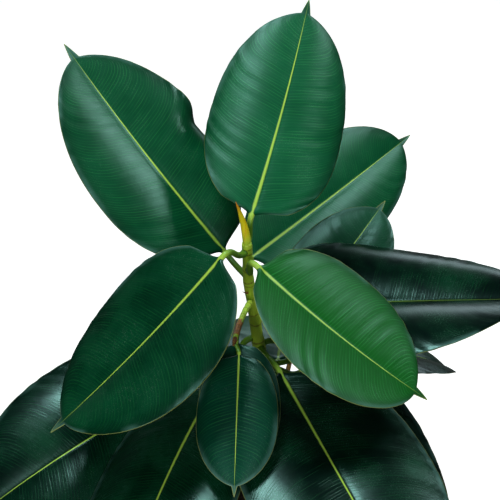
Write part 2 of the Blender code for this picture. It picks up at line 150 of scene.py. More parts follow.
STEM_ROUTE = [
    (0.009, 0.017, 0.100), (0.007, 0.013, 0.145), (0.002, 0.008, 0.200), (-0.008, -0.002, 0.300),
    (-0.018, -0.011, 0.387), (-0.023, -0.015, 0.435), (-0.0275, -0.0195, 0.475), (-0.029, -0.024, 0.520),
]
SCAR_HEIGHTS = [0.163, 0.178, 0.196, 0.212, 0.231, 0.249, 0.268, 0.302, 0.325, 0.350, 0.428, 0.4665]
SHOOT_ROUTE = [
    (-0.0262, -0.0255, 0.4490), (-0.031, -0.046, 0.455), (-0.036, -0.069, 0.459), (-0.0395, -0.090, 0.4612),
]
SIDE_BUD_TIP = (-0.0412, -0.1035, 0.4640)
STIPULE_HEIGHT = 0.4585
CANE_BOTTOM, CANE_TOP = (-0.016, 0.040, 0.100), (0.0215, 0.032, 0.352)


# ---------------------------------------------------------------- settings
def metres(name, text, value):
    """A length a user may change."""
    return bpy.props.FloatProperty(
        name=name, description=text, default=value, min=0.0, precision=4, subtype="DISTANCE", unit="LENGTH"
    )


def share(name, text, value):
    """A plain number from 0 to 1 that a user may change."""
    return bpy.props.FloatProperty(
        name=name, description=text, default=value, min=0.0, max=1.0, subtype="FACTOR"
    )


def colour(name, text, value):
    """A linear colour a user may change."""
    return bpy.props.FloatVectorProperty(
        name=name, description=text, default=value, min=0.0, max=1.0, size=3, subtype="COLOR"
    )


class LeafSettings(bpy.types.PropertyGroup):
    """Sizes and colours of the leaves."""

    thickness: metres("Blade thickness", "Thickness of a big leaf's blade", 0.0009)
    petiole: metres("Petiole radius", "Radius of a big leaf's petiole", 0.0028)
    small_petiole: metres("Young petiole radius", "Radius of a young leaf's petiole", 0.0017)
    rib_depth: metres("Midrib depth", "How far the midrib stands out below the blade", 0.0020)
    vein_spacing: metres("Side vein spacing", "Distance between side veins along the midrib", 0.0031)
    blade: colour("Blade green", "Green of a big leaf's blade", (0.0020, 0.165, 0.055))
    # The sunlit and deep greens are painted light and painted shade: the lit leaf_03 goes over to the sunlit
    # green, and the shaded lower leaves and the blade margins go to the deep green. The deep green also
    # darkens the fine vein threads.
    sunlit: colour("Sunlit green", "Yellower green of the brightest leaf", (0.003, 0.125, 0.006))
    deep: colour("Deep green", "Green of the darkest leaves", (0.0002, 0.0055, 0.004))
    young: colour("Young green", "Green of the young leaves", (0.001, 0.105, 0.055))
    vein: colour("Side vein green", "Lighter green of the side veins", (0.045, 0.40, 0.085))
    rib: colour("Midrib", "Yellow-green of the midrib", (0.44, 0.70, 0.085))
    petiole_green: colour("Petiole", "Green of the petioles", (0.12, 0.27, 0.020))
    margin: colour("Margin", "Pale yellow line round a blade", (0.42, 0.46, 0.12))
    underside: colour("Underside", "Duller green under the blades", (0.090, 0.220, 0.065))
    gloss: share("Leaf roughness", "Roughness of the waxy upper face", 0.29)


class StemSettings(bpy.types.PropertyGroup):
    """Sizes and colours of the stems, sheaths and the cane."""

    low_radius: metres("Stem radius at the soil", "Radius of the main stem low down", 0.0085)
    top_radius: metres("Stem radius at the top", "Radius of the main stem at its growing tip", 0.0045)
    shoot_radius: metres("Side shoot radius", "Radius of the side shoot", 0.0030)
    sheath_length: metres("Bud sheath length", "Length of the horn that wraps the next leaf", 0.047)
    sheath_radius: metres("Bud sheath radius", "Widest radius of the bud sheath", 0.0037)
    cane_radius: metres("Cane radius", "Radius of the support cane", 0.0027)
    green: colour("Stem green", "Yellow-green of the young stem", (0.62, 0.86, 0.060))
    shade: colour("Stem dark green", "Darker green patches of the young stem", (0.42, 0.70, 0.050))
    wood: colour("Woody stem", "Grey-brown of the old stem", (0.16, 0.11, 0.065))
    ring: colour("Node ring", "Brown of the rings at the nodes", (0.11, 0.035, 0.012))
    sheath_tip: colour("Sheath tip", "Orange of the bud sheath's tip", (0.75, 0.25, 0.010))
    sheath_side: colour("Sheath side", "Yellow of the bud sheath's middle", (0.90, 0.78, 0.010))
    husk: colour("Dry husk", "Brown of the papery husks", (0.52, 0.20, 0.040))
    cane: colour("Cane", "Tan of the cane", (0.80, 0.42, 0.12))


class PotSettings(bpy.types.PropertyGroup):
    """Sizes and colours of the pot and the soil."""

    height: metres("Pot height", "Height of the pot", 0.165)
    rim_radius: metres("Rim radius", "Outer radius of the rim band", 0.096)
    rim_height: metres("Rim height", "Height of the rim band", 0.034)
    rim_step: metres("Rim step", "How far the rim band stands out from the body", 0.005)
    base_radius: metres("Base radius", "Outer radius of the foot", 0.064)
    wall: metres("Wall", "Thickness of the wall", 0.006)
    floor: metres("Floor", "Thickness of the floor", 0.010)
    hole_radius: metres("Drain hole radius", "Radius of each drain hole", 0.007)
    hole_circle: metres("Drain hole circle", "Radius of the circle that the drain holes lie on", 0.038)
    soil_level: metres("Soil level", "Height of the soil at the wall", 0.143)
    clay: colour("Clay", "Colour of the fired clay", (0.66, 0.25, 0.12))
    bloom: colour("Lime bloom", "Pale mineral bloom on the clay", (0.66, 0.47, 0.36))
    peat: colour("Peat", "Dark brown of the potting mix", (0.030, 0.017, 0.010))
    bark: colour("Bark", "Brown of the bark chips", (0.13, 0.060, 0.026))
    perlite: colour("Perlite", "White of the perlite grains", (0.62, 0.60, 0.55))


class PlantSettings(bpy.types.PropertyGroup):
    """Everything a user would change, by part of the plant."""

    leaf: bpy.props.PointerProperty(
        type=LeafSettings, name="Leaves", description="Sizes and colours of the leaves"
    )
    stem: bpy.props.PointerProperty(
        type=StemSettings, name="Stems", description="Sizes and colours of the stems"
    )
    pot: bpy.props.PointerProperty(
        type=PotSettings, name="Pot", description="Sizes and colours of the pot"
    )


def settings():
    """The plant's settings in this scene."""
    return bpy.context.scene.rubber_plant


# ---------------------------------------------------------------- shared shapes
def eased(value):
    """A value held between 0 and 1, with a soft start and a soft end."""
    value = np.clip(value, 0.0, 1.0)
    return value * value * (3 - 2 * value)


def smooth_route(points, count):
    """Evenly counted points on a Catmull-Rom curve through the given ones."""
    p = np.array(points, float)
    p = np.vstack([2 * p[0] - p[1], p, 2 * p[-1] - p[-2]])
    place = np.linspace(0, len(p) - 3, count)
    k = np.minimum(place.astype(int), len(p) - 4)
    t = (place - k)[:, None]
    a, b, c, d = p[k], p[k + 1], p[k + 2], p[k + 3]
    square, cube = 2 * a - 5 * b + 4 * c - d, 3 * b - a - 3 * c + d
    return 0.5 * (2 * b + (c - a) * t + square * t * t + cube * t ** 3)


def stem_point(height):
    """The main stem's centre at a height."""
    route = smooth_route(STEM_ROUTE, 400)
    return np.array([np.interp(height, route[:, 2], route[:, i]) for i in range(3)])


def stem_radius(height):
    """The stem tapers from the soil to its growing top."""
    stem = settings().stem
    part = np.clip((height - STEM_ROUTE[0][2]) / (STEM_ROUTE[-1][2] - STEM_ROUTE[0][2]), 0, 1)
    return stem.low_radius + (stem.top_radius - stem.low_radius) * part ** 1.3


def wrapped_skin(places, values=None):
    """A closed skin over rings of places: a grid bent round, its seam welded and its ends capped.

    places is rings x points x 3, without a repeated seam point.  values are named numbers on its points.
    """
    rings, points = places.shape[:2]
    bm = bmesh.new()
    layers = {name: bm.verts.layers.float.new(name) for name in (values or {})}
    bmesh.ops.create_grid(bm, x_segments=points, y_segments=rings - 1, size=0.5)
    for vert in bm.verts:
        column = round((vert.co.x + 0.5) * points)
        row = round((vert.co.y + 0.5) * (rings - 1))
        vert.co = places[row, column % points]
        for name, layer in layers.items():
            vert[layer] = values[name][row, column % points]
    bmesh.ops.remove_doubles(bm, verts=[v for v in bm.verts if v.is_boundary], dist=1e-7)
    bmesh.ops.holes_fill(bm, edges=[e for e in bm.edges if e.is_boundary], sides=0)
    bmesh.ops.recalc_face_normals(bm, faces=bm.faces)
    return bm


def tube_places(route, radii, sides):
    """Rings square to a route.  radii has a row for each ring, with a number for each of its points."""
    ahead = np.gradient(route, axis=0)
    ahead /= np.linalg.norm(ahead, axis=1)[:, None]
    side = np.array([1.0, 0.0, 0.0]) - ahead * ahead[:, :1]
    side /= np.linalg.norm(side, axis=1)[:, None]
    up = np.cross(ahead, side)
    turn = np.linspace(0, 2 * pi, sides, endpoint=False)
    ring = np.cos(turn)[None, :, None] * side[:, None] + np.sin(turn)[None, :, None] * up[:, None]
    return route[:, None] + radii[..., None] * ring


def add_piece(name, bm, node=None, look=None, smooth=True):
    """Link a finished bmesh as a piece that rides on the plant and stands for its node."""
    mesh = bpy.data.meshes.new(name)
    bm.to_mesh(mesh)
    bm.free()
    mesh.materials.append(look)
    if smooth:
        mesh.shade_smooth()
    piece = bpy.data.objects.new(name, mesh)
    bpy.context.scene.collection.objects.link(piece)
    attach(piece, "root")
    if node:
        fit_to_node(piece, node)
        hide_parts(node)
    return piece


def fit_to_node(piece, node):
    """Stop if a detailed piece has strayed from the node that it stands for."""
    places = np.empty(len(piece.data.vertices) * 3, np.float32)
    piece.data.vertices.foreach_get("co", places)
    places = places.reshape(-1, 3)
    low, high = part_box(node)
    astray = max(np.abs(places.min(0) - low).max(), np.abs(places.max(0) - high).max())
    if astray > FIT_SLACK:
        raise RuntimeError(f"{piece.name} is {astray * 1000:.1f} mm off the box of {node}")


# ---------------------------------------------------------------- the leaf's shape
TOP_COLUMNS = np.array([0.0, 0.011, 0.022, 0.036, 0.06, 0.10, 0.16, 0.23, 0.31, 0.39, 0.47, 0.55, 0.63, 0.71,
                        0.79, 0.86, 0.92, 0.96, 0.985])
ACROSS_STEPS = 64


def half_width(s, leaf):
    """Half the blade's width at shares of its length: an oval blade, then a narrow drip tip."""
    t = np.minimum(s / (1 - DRIP_TIP), 1.0)
    low = (1 - (np.maximum(leaf.widest - t, 0) / leaf.widest) ** 2.3) ** 0.55
    high = (1 - (np.maximum(t - leaf.widest, 0) / (1 - leaf.widest)) ** 2.25) ** 0.62
    oval = np.where(t < leaf.widest, low, high)
    tip = np.where(s > 0.8, 0.035 * np.clip((1 - s) / DRIP_TIP, 0, 1) ** 0.8, 0)
    return np.maximum(np.hypot(oval * leaf.width / 2, tip * leaf.width), 0.0004)


def blade_axis(leaf, s):
    """Centres, directions and compass turns of the blade's midrib at shares of its length."""
    steps = 200
    walk = np.arange(steps + 1) / steps
    turn = np.radians(leaf.turn + leaf.sweep * walk)
    climb = np.radians(leaf.rise - leaf.droop * walk)
    ahead = np.stack([np.cos(climb) * np.cos(turn), np.cos(climb) * np.sin(turn), np.sin(climb)], -1)
    centre = np.array(leaf.base) + np.vstack([np.zeros(3), np.cumsum(ahead[:-1], 0)]) * leaf.length / steps
    at = [np.interp(s, walk, column) for column in (*centre.T, *ahead.T, turn)]
    return np.stack(at[:3], -1), np.stack(at[3:6], -1), at[6]


def blade_frame(leaf, s):
    """Centres with the sideways and upward directions of the rolled blade."""
    centre, ahead, turn = blade_axis(leaf, s)
    level = np.stack([np.sin(turn), -np.cos(turn), np.zeros_like(turn)], -1)
    above = np.cross(level, ahead)
    roll = np.radians(leaf.roll + leaf.twist * s)[:, None]
    side = level * np.cos(roll) - above * np.sin(roll)
    return centre, ahead, side, above * np.cos(roll) + level * np.sin(roll)


def across_blade(leaf, s, t, width):
    """Reach, height and slope of places t from midrib (0) to margin (1, or -1 to the left)."""
    fine = (np.arange(ACROSS_STEPS) + 0.5) / ACROSS_STEPS
    bend = np.sin(pi * np.clip(s, 0.02, 0.98)) ** 0.5
    outer = np.clip((fine - TUCK_PLACE) / (1 - TUCK_PLACE), 0, None)
    tuck = leaf.tuck * eased((TUCK_END - s) / TUCK_FADE)
    slopes = {}
    for sign, curl in ((-1, leaf.curl_left), (1, leaf.curl_right)):
        slope = leaf.fold - curl * bend[:, None] * fine - (tuck[:, None] * outer if sign > 0 else 0.0)
        slopes[sign] = np.radians(slope)
    edges = np.linspace(0, 1, ACROSS_STEPS + 1)
    reach, height, lean = (np.zeros((len(s), len(t))) for _ in range(3))
    for sign in (-1, 1):
        run = np.pad(np.cumsum(np.cos(slopes[sign]), 1), ((0, 0), (1, 0))) / ACROSS_STEPS
        lift = np.pad(np.cumsum(np.sin(slopes[sign]), 1), ((0, 0), (1, 0))) / ACROSS_STEPS
        mine = np.sign(t) == sign
        for i in range(len(s)):
            out = np.abs(t[mine])
            reach[i, mine] = sign * np.interp(out, edges, run[i]) * width[i]
            height[i, mine] = np.interp(out, edges, lift[i]) * width[i]
            lean[i, mine] = sign * np.interp(out, fine, slopes[sign][i])
    return reach, height, lean


def blade_rows():
    """Shares along a blade, closer together where the outline turns fastest."""
    x = np.linspace(0, 1, BLADE_RINGS)
    return x - RING_CROWDING * np.sin(2 * pi * x) / (2 * pi)


def leaf_places(leaf, start, leave, radius):
    """Rings of one whole leaf, petiole first, with the numbers that its finish follows."""
    look = settings().leaf
    seed = sum(map(ord, leaf.node)) % 97 + leaf.turn
    top = np.concatenate([[-1.0], -TOP_COLUMNS[:0:-1], TOP_COLUMNS, [1.0]])
    below = top[1:-1][::-1]
    t = np.concatenate([top, below])
    under = np.concatenate([[0.5], np.zeros(len(top) - 2), [0.5], np.ones(len(below))])
    angle = np.concatenate([pi * (1 - (top + 1) / 2), -pi * (1 - (below + 1) / 2)])
    size = radius / look.petiole

    s = blade_rows()
    width = half_width(s, leaf)
    centre, ahead, side, lift = blade_frame(leaf, s)
    reach, height, lean = across_blade(leaf, s, t, width)
    away = np.abs(t)[None] * width[:, None]
    vein = 1000 * leaf.length * (s[:, None] - 0.085 * np.abs(t) - 0.075 * np.abs(t) ** 5)
    hand = np.where(t < 0, 1.7, 0.0) + seed
    inner = np.clip(s / 0.08, 0, 1)[:, None] * np.clip((1 - s) / 0.12, 0, 1)[:, None]
    ripple = RIPPLE_HEIGHT * np.sin(vein / 1.45 + 1.4 * np.sin(vein / 5.3 + hand)) * eased(away / 0.012)
    swell = SWELL_HEIGHT * np.sin(vein / 3.6 + 1.9 * np.sin(vein / 11.0 + hand) + hand)
    swell = swell * np.abs(t) ** 1.3 * (0.55 + 0.45 * np.sin(vein / 19.0 + 2.1 * hand))
    rise = (ripple + swell) * inner * size
    rib = (1 - s[:, None]) ** 0.8 * size
    ridge, furrow = np.exp(-(away / 0.0011) ** 2), np.exp(-((away - 0.0027) / 0.0012) ** 2)
    top_rib = 0.00038 * rib * ridge - 0.00030 * rib * furrow
    rise = rise + top_rib * (1 - under) * inner
    thin = look.thickness * (1 - 0.45 * np.abs(t) ** 6)
    deep = under * (thin + look.rib_depth * rib * np.exp(-(away / 0.0016) ** 2))
    reach = reach + (deep - rise) * np.sin(lean)
    height = height - (deep - rise) * np.cos(lean)
    flat = eased(s / 0.055)[:, None]
    girth = radius * (1 - 0.6 * s)[:, None]
    x = flat * reach + (1 - flat) * girth * np.cos(angle)
    y = flat * height + (1 - flat) * (girth * np.sin(angle) - 0.4 * girth)
    blade = centre[:, None] + side[:, None] * x[..., None] + lift[:, None] * y[..., None]

    end = centre[0] - lift[0] * 0.4 * radius
    bend = min(0.38 * np.linalg.norm(end - start), PETIOLE_BEND)
    first, last = start + leave * bend, end - ahead[0] * bend
    count = PETIOLE_RINGS
    u = (np.arange(count) / count)[:, None]
    spot = (1 - u) ** 3 * start + 3 * u * (1 - u) ** 2 * first + 3 * u * u * (1 - u) * last + u ** 3 * end
    along = 3 * (1 - u) ** 2 * (first - start) + 6 * u * (1 - u) * (last - first) + 3 * u * u * (end - last)
    along /= np.linalg.norm(along, axis=1)[:, None]
    across = side[0] - along * (along @ side[0])[:, None]
    across /= np.linalg.norm(across, axis=1)[:, None]
    upward = np.cross(across, along)
    thick = radius * (1.12 - 0.12 * u + 0.22 * np.exp(-u / 0.07))
    groove = 1 - 0.10 * eased(u * 2) * np.exp(-((angle - pi / 2) / 0.5) ** 2)
    stalk = spot[:, None] + (thick * groove)[..., None] * (
        np.cos(angle)[None, :, None] * across[:, None] + np.sin(angle)[None, :, None] * upward[:, None])

    rib_reach = 0.0003 + 0.0014 * (1 - s[:, None]) ** 1.5
    rows = count + len(s)
    spread = np.ones((rows, len(t)))
    values = {
        "vein": np.vstack([np.zeros((count, len(t))), vein]),
        "edge": np.vstack([np.full((count, len(t)), 30.0), 1000 * (width[:, None] - away)]),
        "rib": np.vstack([np.zeros((count, len(t))),
                          eased(s / 0.03)[:, None] * away / (size * rib_reach)]),
        "bright": spread * leaf.rib,
        "along": np.concatenate([u[:, 0] - 1, s])[:, None] * spread,
        "under": spread * under,
        "tone": spread * leaf.tone,
        "seed": spread * seed,
    }
    return np.vstack([stalk, blade]), values


# ---------------------------------------------------------------- finishes
def node_group(name, inputs, outputs):
    """A shader node group with named inputs (kind and default) and outputs."""
    group = bpy.data.node_groups.new(name, "ShaderNodeTree")
    for label, kind, value in inputs:
        socket = group.interface.new_socket(name=label, in_out="INPUT", socket_type="NodeSocket" + kind)
        if value is not None:
            socket.default_value = value
    for label, kind in outputs:
        group.interface.new_socket(name=label, in_out="OUTPUT", socket_type="NodeSocket" + kind)
    return group


class Wiring:
    """Short calls that place and link shader nodes in one tree."""

    def __init__(self, tree):
        self.tree = tree

    def put(self, kind, **values):
        """A new node with its properties set."""
        node = self.tree.nodes.new("ShaderNode" + kind)
        for key, value in values.items():
            setattr(node, key, value)
        return node

    def feed(self, socket, value):
        """Link a socket to an input, or set the input's own value."""
        if isinstance(value, bpy.types.NodeSocket):
            self.tree.links.new(value, socket)
        elif hasattr(socket.default_value, "__len__") and len(socket.default_value) == 4:
            socket.default_value = (*value[:3], 1.0)
        else:
            socket.default_value = value

    def math(self, operation, a, b=0.0, c=0.0, clamp=False):
        """A sum on up to three values."""
        node = self.put("Math", operation=operation, use_clamp=clamp)
        for socket, value in zip(node.inputs, (a, b, c)):
            self.feed(socket, value)
        return node.outputs[0]

    def ramp(self, value, low, high, to_low=0.0, to_high=1.0):
        """value from low..high eased to to_low..to_high."""
        node = self.put("MapRange", interpolation_type="SMOOTHSTEP")
        for name, number in (("Value", value), ("From Min", low), ("From Max", high), ("To Min", to_low),
                             ("To Max", to_high)):
            self.feed(node.inputs[name], number)
        return node.outputs[0]

    def mix(self, share_of, a, b, blend="MIX"):
        """Colour a going over to colour b as the share rises."""
        node = self.put("Mix", data_type="RGBA", blend_type=blend)
        self.feed(node.inputs[0], share_of)
        self.feed(node.inputs[6], a)
        self.feed(node.inputs[7], b)
        return node.outputs[2]

    def vector(self, x, y, z):
        """Three values as one vector."""
        node = self.put("CombineXYZ")
        for socket, value in zip(node.inputs, (x, y, z)):
            self.feed(socket, value)
        return node.outputs[0]

    def noise(self, vector, scale, detail=2.0, rough=0.5):
        """Soft noise from 0 to 1."""
        node = self.put("TexNoise")
        self.feed(node.inputs["Vector"], vector)
        node.inputs["Scale"].default_value = scale
        node.inputs["Detail"].default_value = detail
        node.inputs["Roughness"].default_value = rough
        return node.outputs["Fac"]

    def attribute(self, name):
        """A number that the mesh carries on its points."""
        node = self.put("Attribute", attribute_name=name)
        return node.outputs["Fac"]

    def place(self):
        """The spot on the piece, in metres."""
        return self.put("TexCoord").outputs["Object"]

    def stretched(self, vector, scale):
        """A vector scaled along its three axes."""
        node = self.put("Mapping")
        self.feed(node.inputs["Vector"], vector)
        node.inputs["Scale"].default_value = scale
        return node.outputs[0]


def leaf_skin_group():
    """The leaf's surface pattern: side veins, midrib, margin, dust and the duller underside, with painted
    shade and painted light by how lit each leaf is, painted shade along the margins and a painted sheen near
    them.
    """
    if "leaf_skin" in bpy.data.node_groups:
        return bpy.data.node_groups["leaf_skin"]
    group = node_group(
        "leaf_skin",
        [("Place", "Vector", None), ("Vein", "Float", 0.0), ("Edge", "Float", 30.0), ("Rib", "Float", 9.0),
         ("Bright", "Float", 1.0), ("Along", "Float", 0.5), ("Under", "Float", 0.0), ("Tone", "Float", 0.0),
         ("Seed", "Float", 0.0), ("Vein Spacing", "Float", 3.0), ("Gloss", "Float", 0.33),
         ("Blade", "Color", (0, 0.1, 0, 1)), ("Sunlit", "Color", (0, 0.3, 0, 1)),
         ("Deep", "Color", (0, 0.03, 0, 1)), ("Side Vein", "Color", (0, 0.3, 0, 1)),
         ("Midrib", "Color", (0.4, 0.6, 0, 1)), ("Petiole", "Color", (0.1, 0.2, 0, 1)),
         ("Margin", "Color", (0.4, 0.4, 0.1, 1)), ("Underside", "Color", (0.05, 0.15, 0.05, 1))],
        [("Color", "Color"), ("Roughness", "Float"), ("Height", "Float")],
    )
    w = Wiring(group)
    given = group.nodes.new("NodeGroupInput").outputs
    done = group.nodes.new("NodeGroupOutput").inputs
    vein, edge, seed = given["Vein"], given["Edge"], given["Seed"]

    sway = w.noise(w.vector(w.math("MULTIPLY", vein, 0.11), w.math("MULTIPLY", edge, 0.018), seed), 1.0, 2.0)
    wave_at = w.math("ADD", w.math("DIVIDE", w.math("MULTIPLY", vein, 2 * pi), given["Vein Spacing"]),
                     w.math("MULTIPLY", sway, 9.0))
    line = w.ramp(w.math("SINE", wave_at), 0.60, 1.0)
    bold = w.noise(w.vector(w.math("MULTIPLY", vein, 0.16), w.math("MULTIPLY", edge, 0.03), seed), 1.0, 1.0)
    inside = w.math("MULTIPLY", w.ramp(edge, 0.3, 5.0), w.ramp(given["Along"], 0.0, 0.06))
    line = w.math("MULTIPLY", w.math("MULTIPLY", line, w.ramp(bold, 0.32, 0.68, 0.25, 1.0)), inside)
    fine = w.vector(w.math("MULTIPLY", vein, 1.7), w.math("MULTIPLY", edge, 0.07), seed)
    threads = w.noise(fine, 1.0, 3.0, 0.6)
    cloud = w.noise(given["Place"], 22.0, 3.0)
    dust = w.noise(given["Place"], 1500.0, 1.0)
    dust = w.math("MULTIPLY", w.ramp(dust, 0.62, 0.78), w.ramp(cloud, 0.42, 0.62))

    # Painted shade and painted light: the tone number, with a random cloud, takes the green from the deep
    # green of the shaded leaves through the blade green to the sunlit green of the lit leaf, and the side
    # veins show less on the shaded leaves.
    tone = w.math("ADD", w.math("MULTIPLY", given["Tone"], 0.40), 0.45)
    tone = w.math("ADD", tone, w.math("MULTIPLY", w.math("SUBTRACT", cloud, 0.5), 0.6), clamp=True)
    skin = w.mix(tone, given["Deep"], given["Blade"])
    skin = w.mix(w.ramp(given["Tone"], 0.6, 1.0), skin, given["Sunlit"])
    shown = w.math("MULTIPLY", line, w.ramp(given["Tone"], -1.0, 1.0, 0.06, 0.40))
    skin = w.mix(shown, skin, given["Side Vein"])
    skin = w.mix(w.ramp(threads, 0.30, 0.70, 0.0, 0.18), skin, given["Deep"])
    skin = w.mix(w.math("MULTIPLY", dust, 0.16), skin, (0.55, 0.75, 0.70))
    # Painted shade: the blade darkens over the last 16 mm towards its margin, up to 45 percent deep green at
    # the edge.
    skin = w.mix(w.ramp(edge, 16.0, 0.0, 0.0, 0.45), skin, given["Deep"])
    # Painted sheen: a patchy pale teal sheen along the last 7 mm of the margin.
    painted_margin_sheen = w.math("MULTIPLY", w.ramp(edge, 7.0, 0.5), w.ramp(cloud, 0.42, 0.62))
    skin = w.mix(w.math("MULTIPLY", painted_margin_sheen, 0.22), skin, (0.22, 0.50, 0.45))
    skin = w.mix(w.math("MULTIPLY", given["Under"], 0.9, clamp=True), skin, given["Underside"])
    cord = w.mix(w.ramp(given["Along"], -0.30, 0.05), given["Petiole"], given["Midrib"])
    # How clearly the midrib shows: it fades towards the tip, and the rib number turns it down on the shaded
    # leaf_06 as painted shade.
    clear = w.math("MULTIPLY", given["Bright"], w.ramp(given["Along"], 1.02, 0.72, 0.12, 1.0))
    skin = w.mix(w.math("MULTIPLY", w.ramp(given["Rib"], 1.5, 0.35), clear), skin, cord)
    rim = w.math("MULTIPLY", w.ramp(edge, 0.75, 0.15), w.ramp(given["Along"], 0.02, 0.06))
    skin = w.mix(w.math("MULTIPLY", rim, 0.75), skin, given["Margin"])
    w.feed(done["Color"], skin)

    rough = w.math("ADD", given["Gloss"], w.math("MULTIPLY", w.math("SUBTRACT", cloud, 0.5), 0.16))
    rough = w.math("ADD", rough, w.math("MULTIPLY", threads, 0.06))
    rough = w.math("ADD", rough, w.math("MULTIPLY", given["Tone"], 0.08))
    rough = w.math("ADD", rough, w.math("MULTIPLY", given["Under"], 0.22), clamp=True)
    w.feed(done["Roughness"], rough)
    height = w.math("ADD", w.math("MULTIPLY", line, 0.9), w.math("MULTIPLY", threads, 0.8))
    w.feed(done["Height"], w.math("MULTIPLY", height, inside))
    return group


def mottle_group():
    """Two colours mixed by a stretched noise, with a finer grain on top, for bark, cane, clay and soil."""
    if "mottle" in bpy.data.node_groups:
        return bpy.data.node_groups["mottle"]
    group = node_group(
        "mottle",
        [("Place", "Vector", None), ("Patch Size", "Float", 0.02), ("Grain Size", "Float", 0.001),
         ("Contrast", "Float", 0.5), ("Low", "Color", (0, 0, 0, 1)), ("High", "Color", (1, 1, 1, 1))],
        [("Color", "Color"), ("Patch", "Float"), ("Grain", "Float")],
    )
    w = Wiring(group)
    given = group.nodes.new("NodeGroupInput").outputs
    done = group.nodes.new("NodeGroupOutput").inputs
    scaled = []
    for size, detail in (("Patch Size", 4.0), ("Grain Size", 2.0)):
        node = w.put("TexNoise")
        w.feed(node.inputs["Vector"], given["Place"])
        w.feed(node.inputs["Scale"], w.math("DIVIDE", 1.0, given[size]))
        node.inputs["Detail"].default_value = detail
        scaled.append(node.outputs["Fac"])
    patch, grain = w.ramp(scaled[0], 0.3, 0.7), scaled[1]
    speckle = w.math("MULTIPLY", w.math("SUBTRACT", grain, 0.5), given["Contrast"])
    blend = w.math("ADD", patch, speckle, clamp=True)
    w.feed(done["Color"], w.mix(blend, given["Low"], given["High"]))
    w.feed(done["Patch"], patch)
    w.feed(done["Grain"], grain)
    return group


def new_look(name):
    """A fresh material with its Principled shader and a wiring helper."""
    look = bpy.data.materials.new(name)
    look.use_nodes = True
    return look, look.node_tree.nodes["Principled BSDF"], Wiring(look.node_tree)


def add_bump(w, shader, height, distance):
    """A Bump node that feeds the shader's normal."""
    bump = w.put("Bump")
    bump.inputs["Distance"].default_value = distance
    w.feed(bump.inputs["Height"], height)
    w.feed(shader.inputs["Normal"], bump.outputs["Normal"])


def place_group(w, group, **values):
    """A group placed in a material with its own values; spaces in socket names are underscores here."""
    node = w.put("Group", node_tree=group)
    for key, value in values.items():
        w.feed(node.inputs[key.replace("_", " ")], value)
    return node.outputs


def leaf_look(name, blade):
    """Waxy leaf with veins, midrib and margin."""
    if name in bpy.data.materials:
        return bpy.data.materials[name]
    leaf = settings().leaf
    look, shader, w = new_look(name)
    painted = {name: w.attribute(name.lower()) for name in
               ("Vein", "Edge", "Rib", "Bright", "Along", "Under", "Tone", "Seed")}
    skin = place_group(
        w, leaf_skin_group(), Place=w.place(), **painted, Vein_Spacing=leaf.vein_spacing * 1000,
        Gloss=leaf.gloss, Blade=blade, Sunlit=leaf.sunlit, Deep=leaf.deep, Side_Vein=leaf.vein,
        Midrib=leaf.rib, Petiole=leaf.petiole_green, Margin=leaf.margin, Underside=leaf.underside,
    )
    w.feed(shader.inputs["Base Color"], skin["Color"])
    w.feed(shader.inputs["Roughness"], skin["Roughness"])
    shader.inputs["Specular IOR Level"].default_value = 0.45
    shader.inputs["Specular Tint"].default_value = (0.50, 0.95, 0.88, 1)
    add_bump(w, shader, skin["Height"], 0.00004)
    return look


def stem_look():
    """Yellow-green bark that turns woody low down, with brown node rings and dry brown wraps."""
    if "green_bark" in bpy.data.materials:
        return bpy.data.materials["green_bark"]
    stem = settings().stem
    look, shader, w = new_look("green_bark")
    place = w.place()
    skin = place_group(w, mottle_group(), Place=w.stretched(place, (1.0, 1.0, 0.45)), Patch_Size=0.011,
                       Grain_Size=0.0011, Contrast=0.8, Low=stem.shade, High=stem.green)
    wood = place_group(w, mottle_group(), Place=w.stretched(place, (1.0, 1.0, 0.3)), Patch_Size=0.007,
                       Grain_Size=0.0008, Contrast=1.2, Low=stem.ring, High=stem.wood)
    age = w.math("MULTIPLY", w.attribute("age"), w.math("ADD", 0.8, w.math("MULTIPLY", skin["Patch"], 0.4)),
                 clamp=True)
    bark = w.mix(age, skin["Color"], wood["Color"])
    ring = w.math("MULTIPLY", w.attribute("ring"), w.ramp(skin["Grain"], 0.25, 0.6, 0.3, 0.8))
    bark = w.mix(ring, bark, stem.ring)
    husk = place_group(w, mottle_group(), Place=place, Patch_Size=0.004, Grain_Size=0.0006, Contrast=0.9,
                       Low=[0.45 * c for c in stem.husk], High=stem.husk)
    bark = w.mix(w.attribute("dry"), bark, husk["Color"])
    w.feed(shader.inputs["Base Color"], bark)
    w.feed(shader.inputs["Roughness"], w.math("ADD", 0.38, w.math("MULTIPLY", age, 0.4)))
    add_bump(w, shader, w.math("ADD", skin["Grain"], w.math("MULTIPLY", wood["Patch"], age)), 0.0004)
    return look


def sheath_look():
    """Bud sheath: orange tip, yellow side, green foot."""
    stem = settings().stem
    look, shader, w = new_look("bud_horn")
    along = w.attribute("along")
    skin = w.mix(w.ramp(along, 0.0, 0.32), stem.green, stem.sheath_side)
    skin = w.mix(w.ramp(along, 0.62, 1.0), skin, stem.sheath_tip)
    grain = place_group(w, mottle_group(), Place=w.stretched(w.place(), (1.0, 1.0, 0.15)), Patch_Size=0.004,
                        Grain_Size=0.0006, Contrast=0.6, Low=(0.80, 0.80, 0.75), High=(1, 1, 1))
    skin = w.mix(0.7, skin, grain["Color"], "MULTIPLY")
    skin = w.mix(w.attribute("seam"), skin, stem.sheath_tip)
    w.feed(shader.inputs["Base Color"], skin)
    shader.inputs["Roughness"].default_value = 0.36
    shader.inputs["Coat Weight"].default_value = 0.2
    add_bump(w, shader, grain["Grain"], 0.0002)
    return look


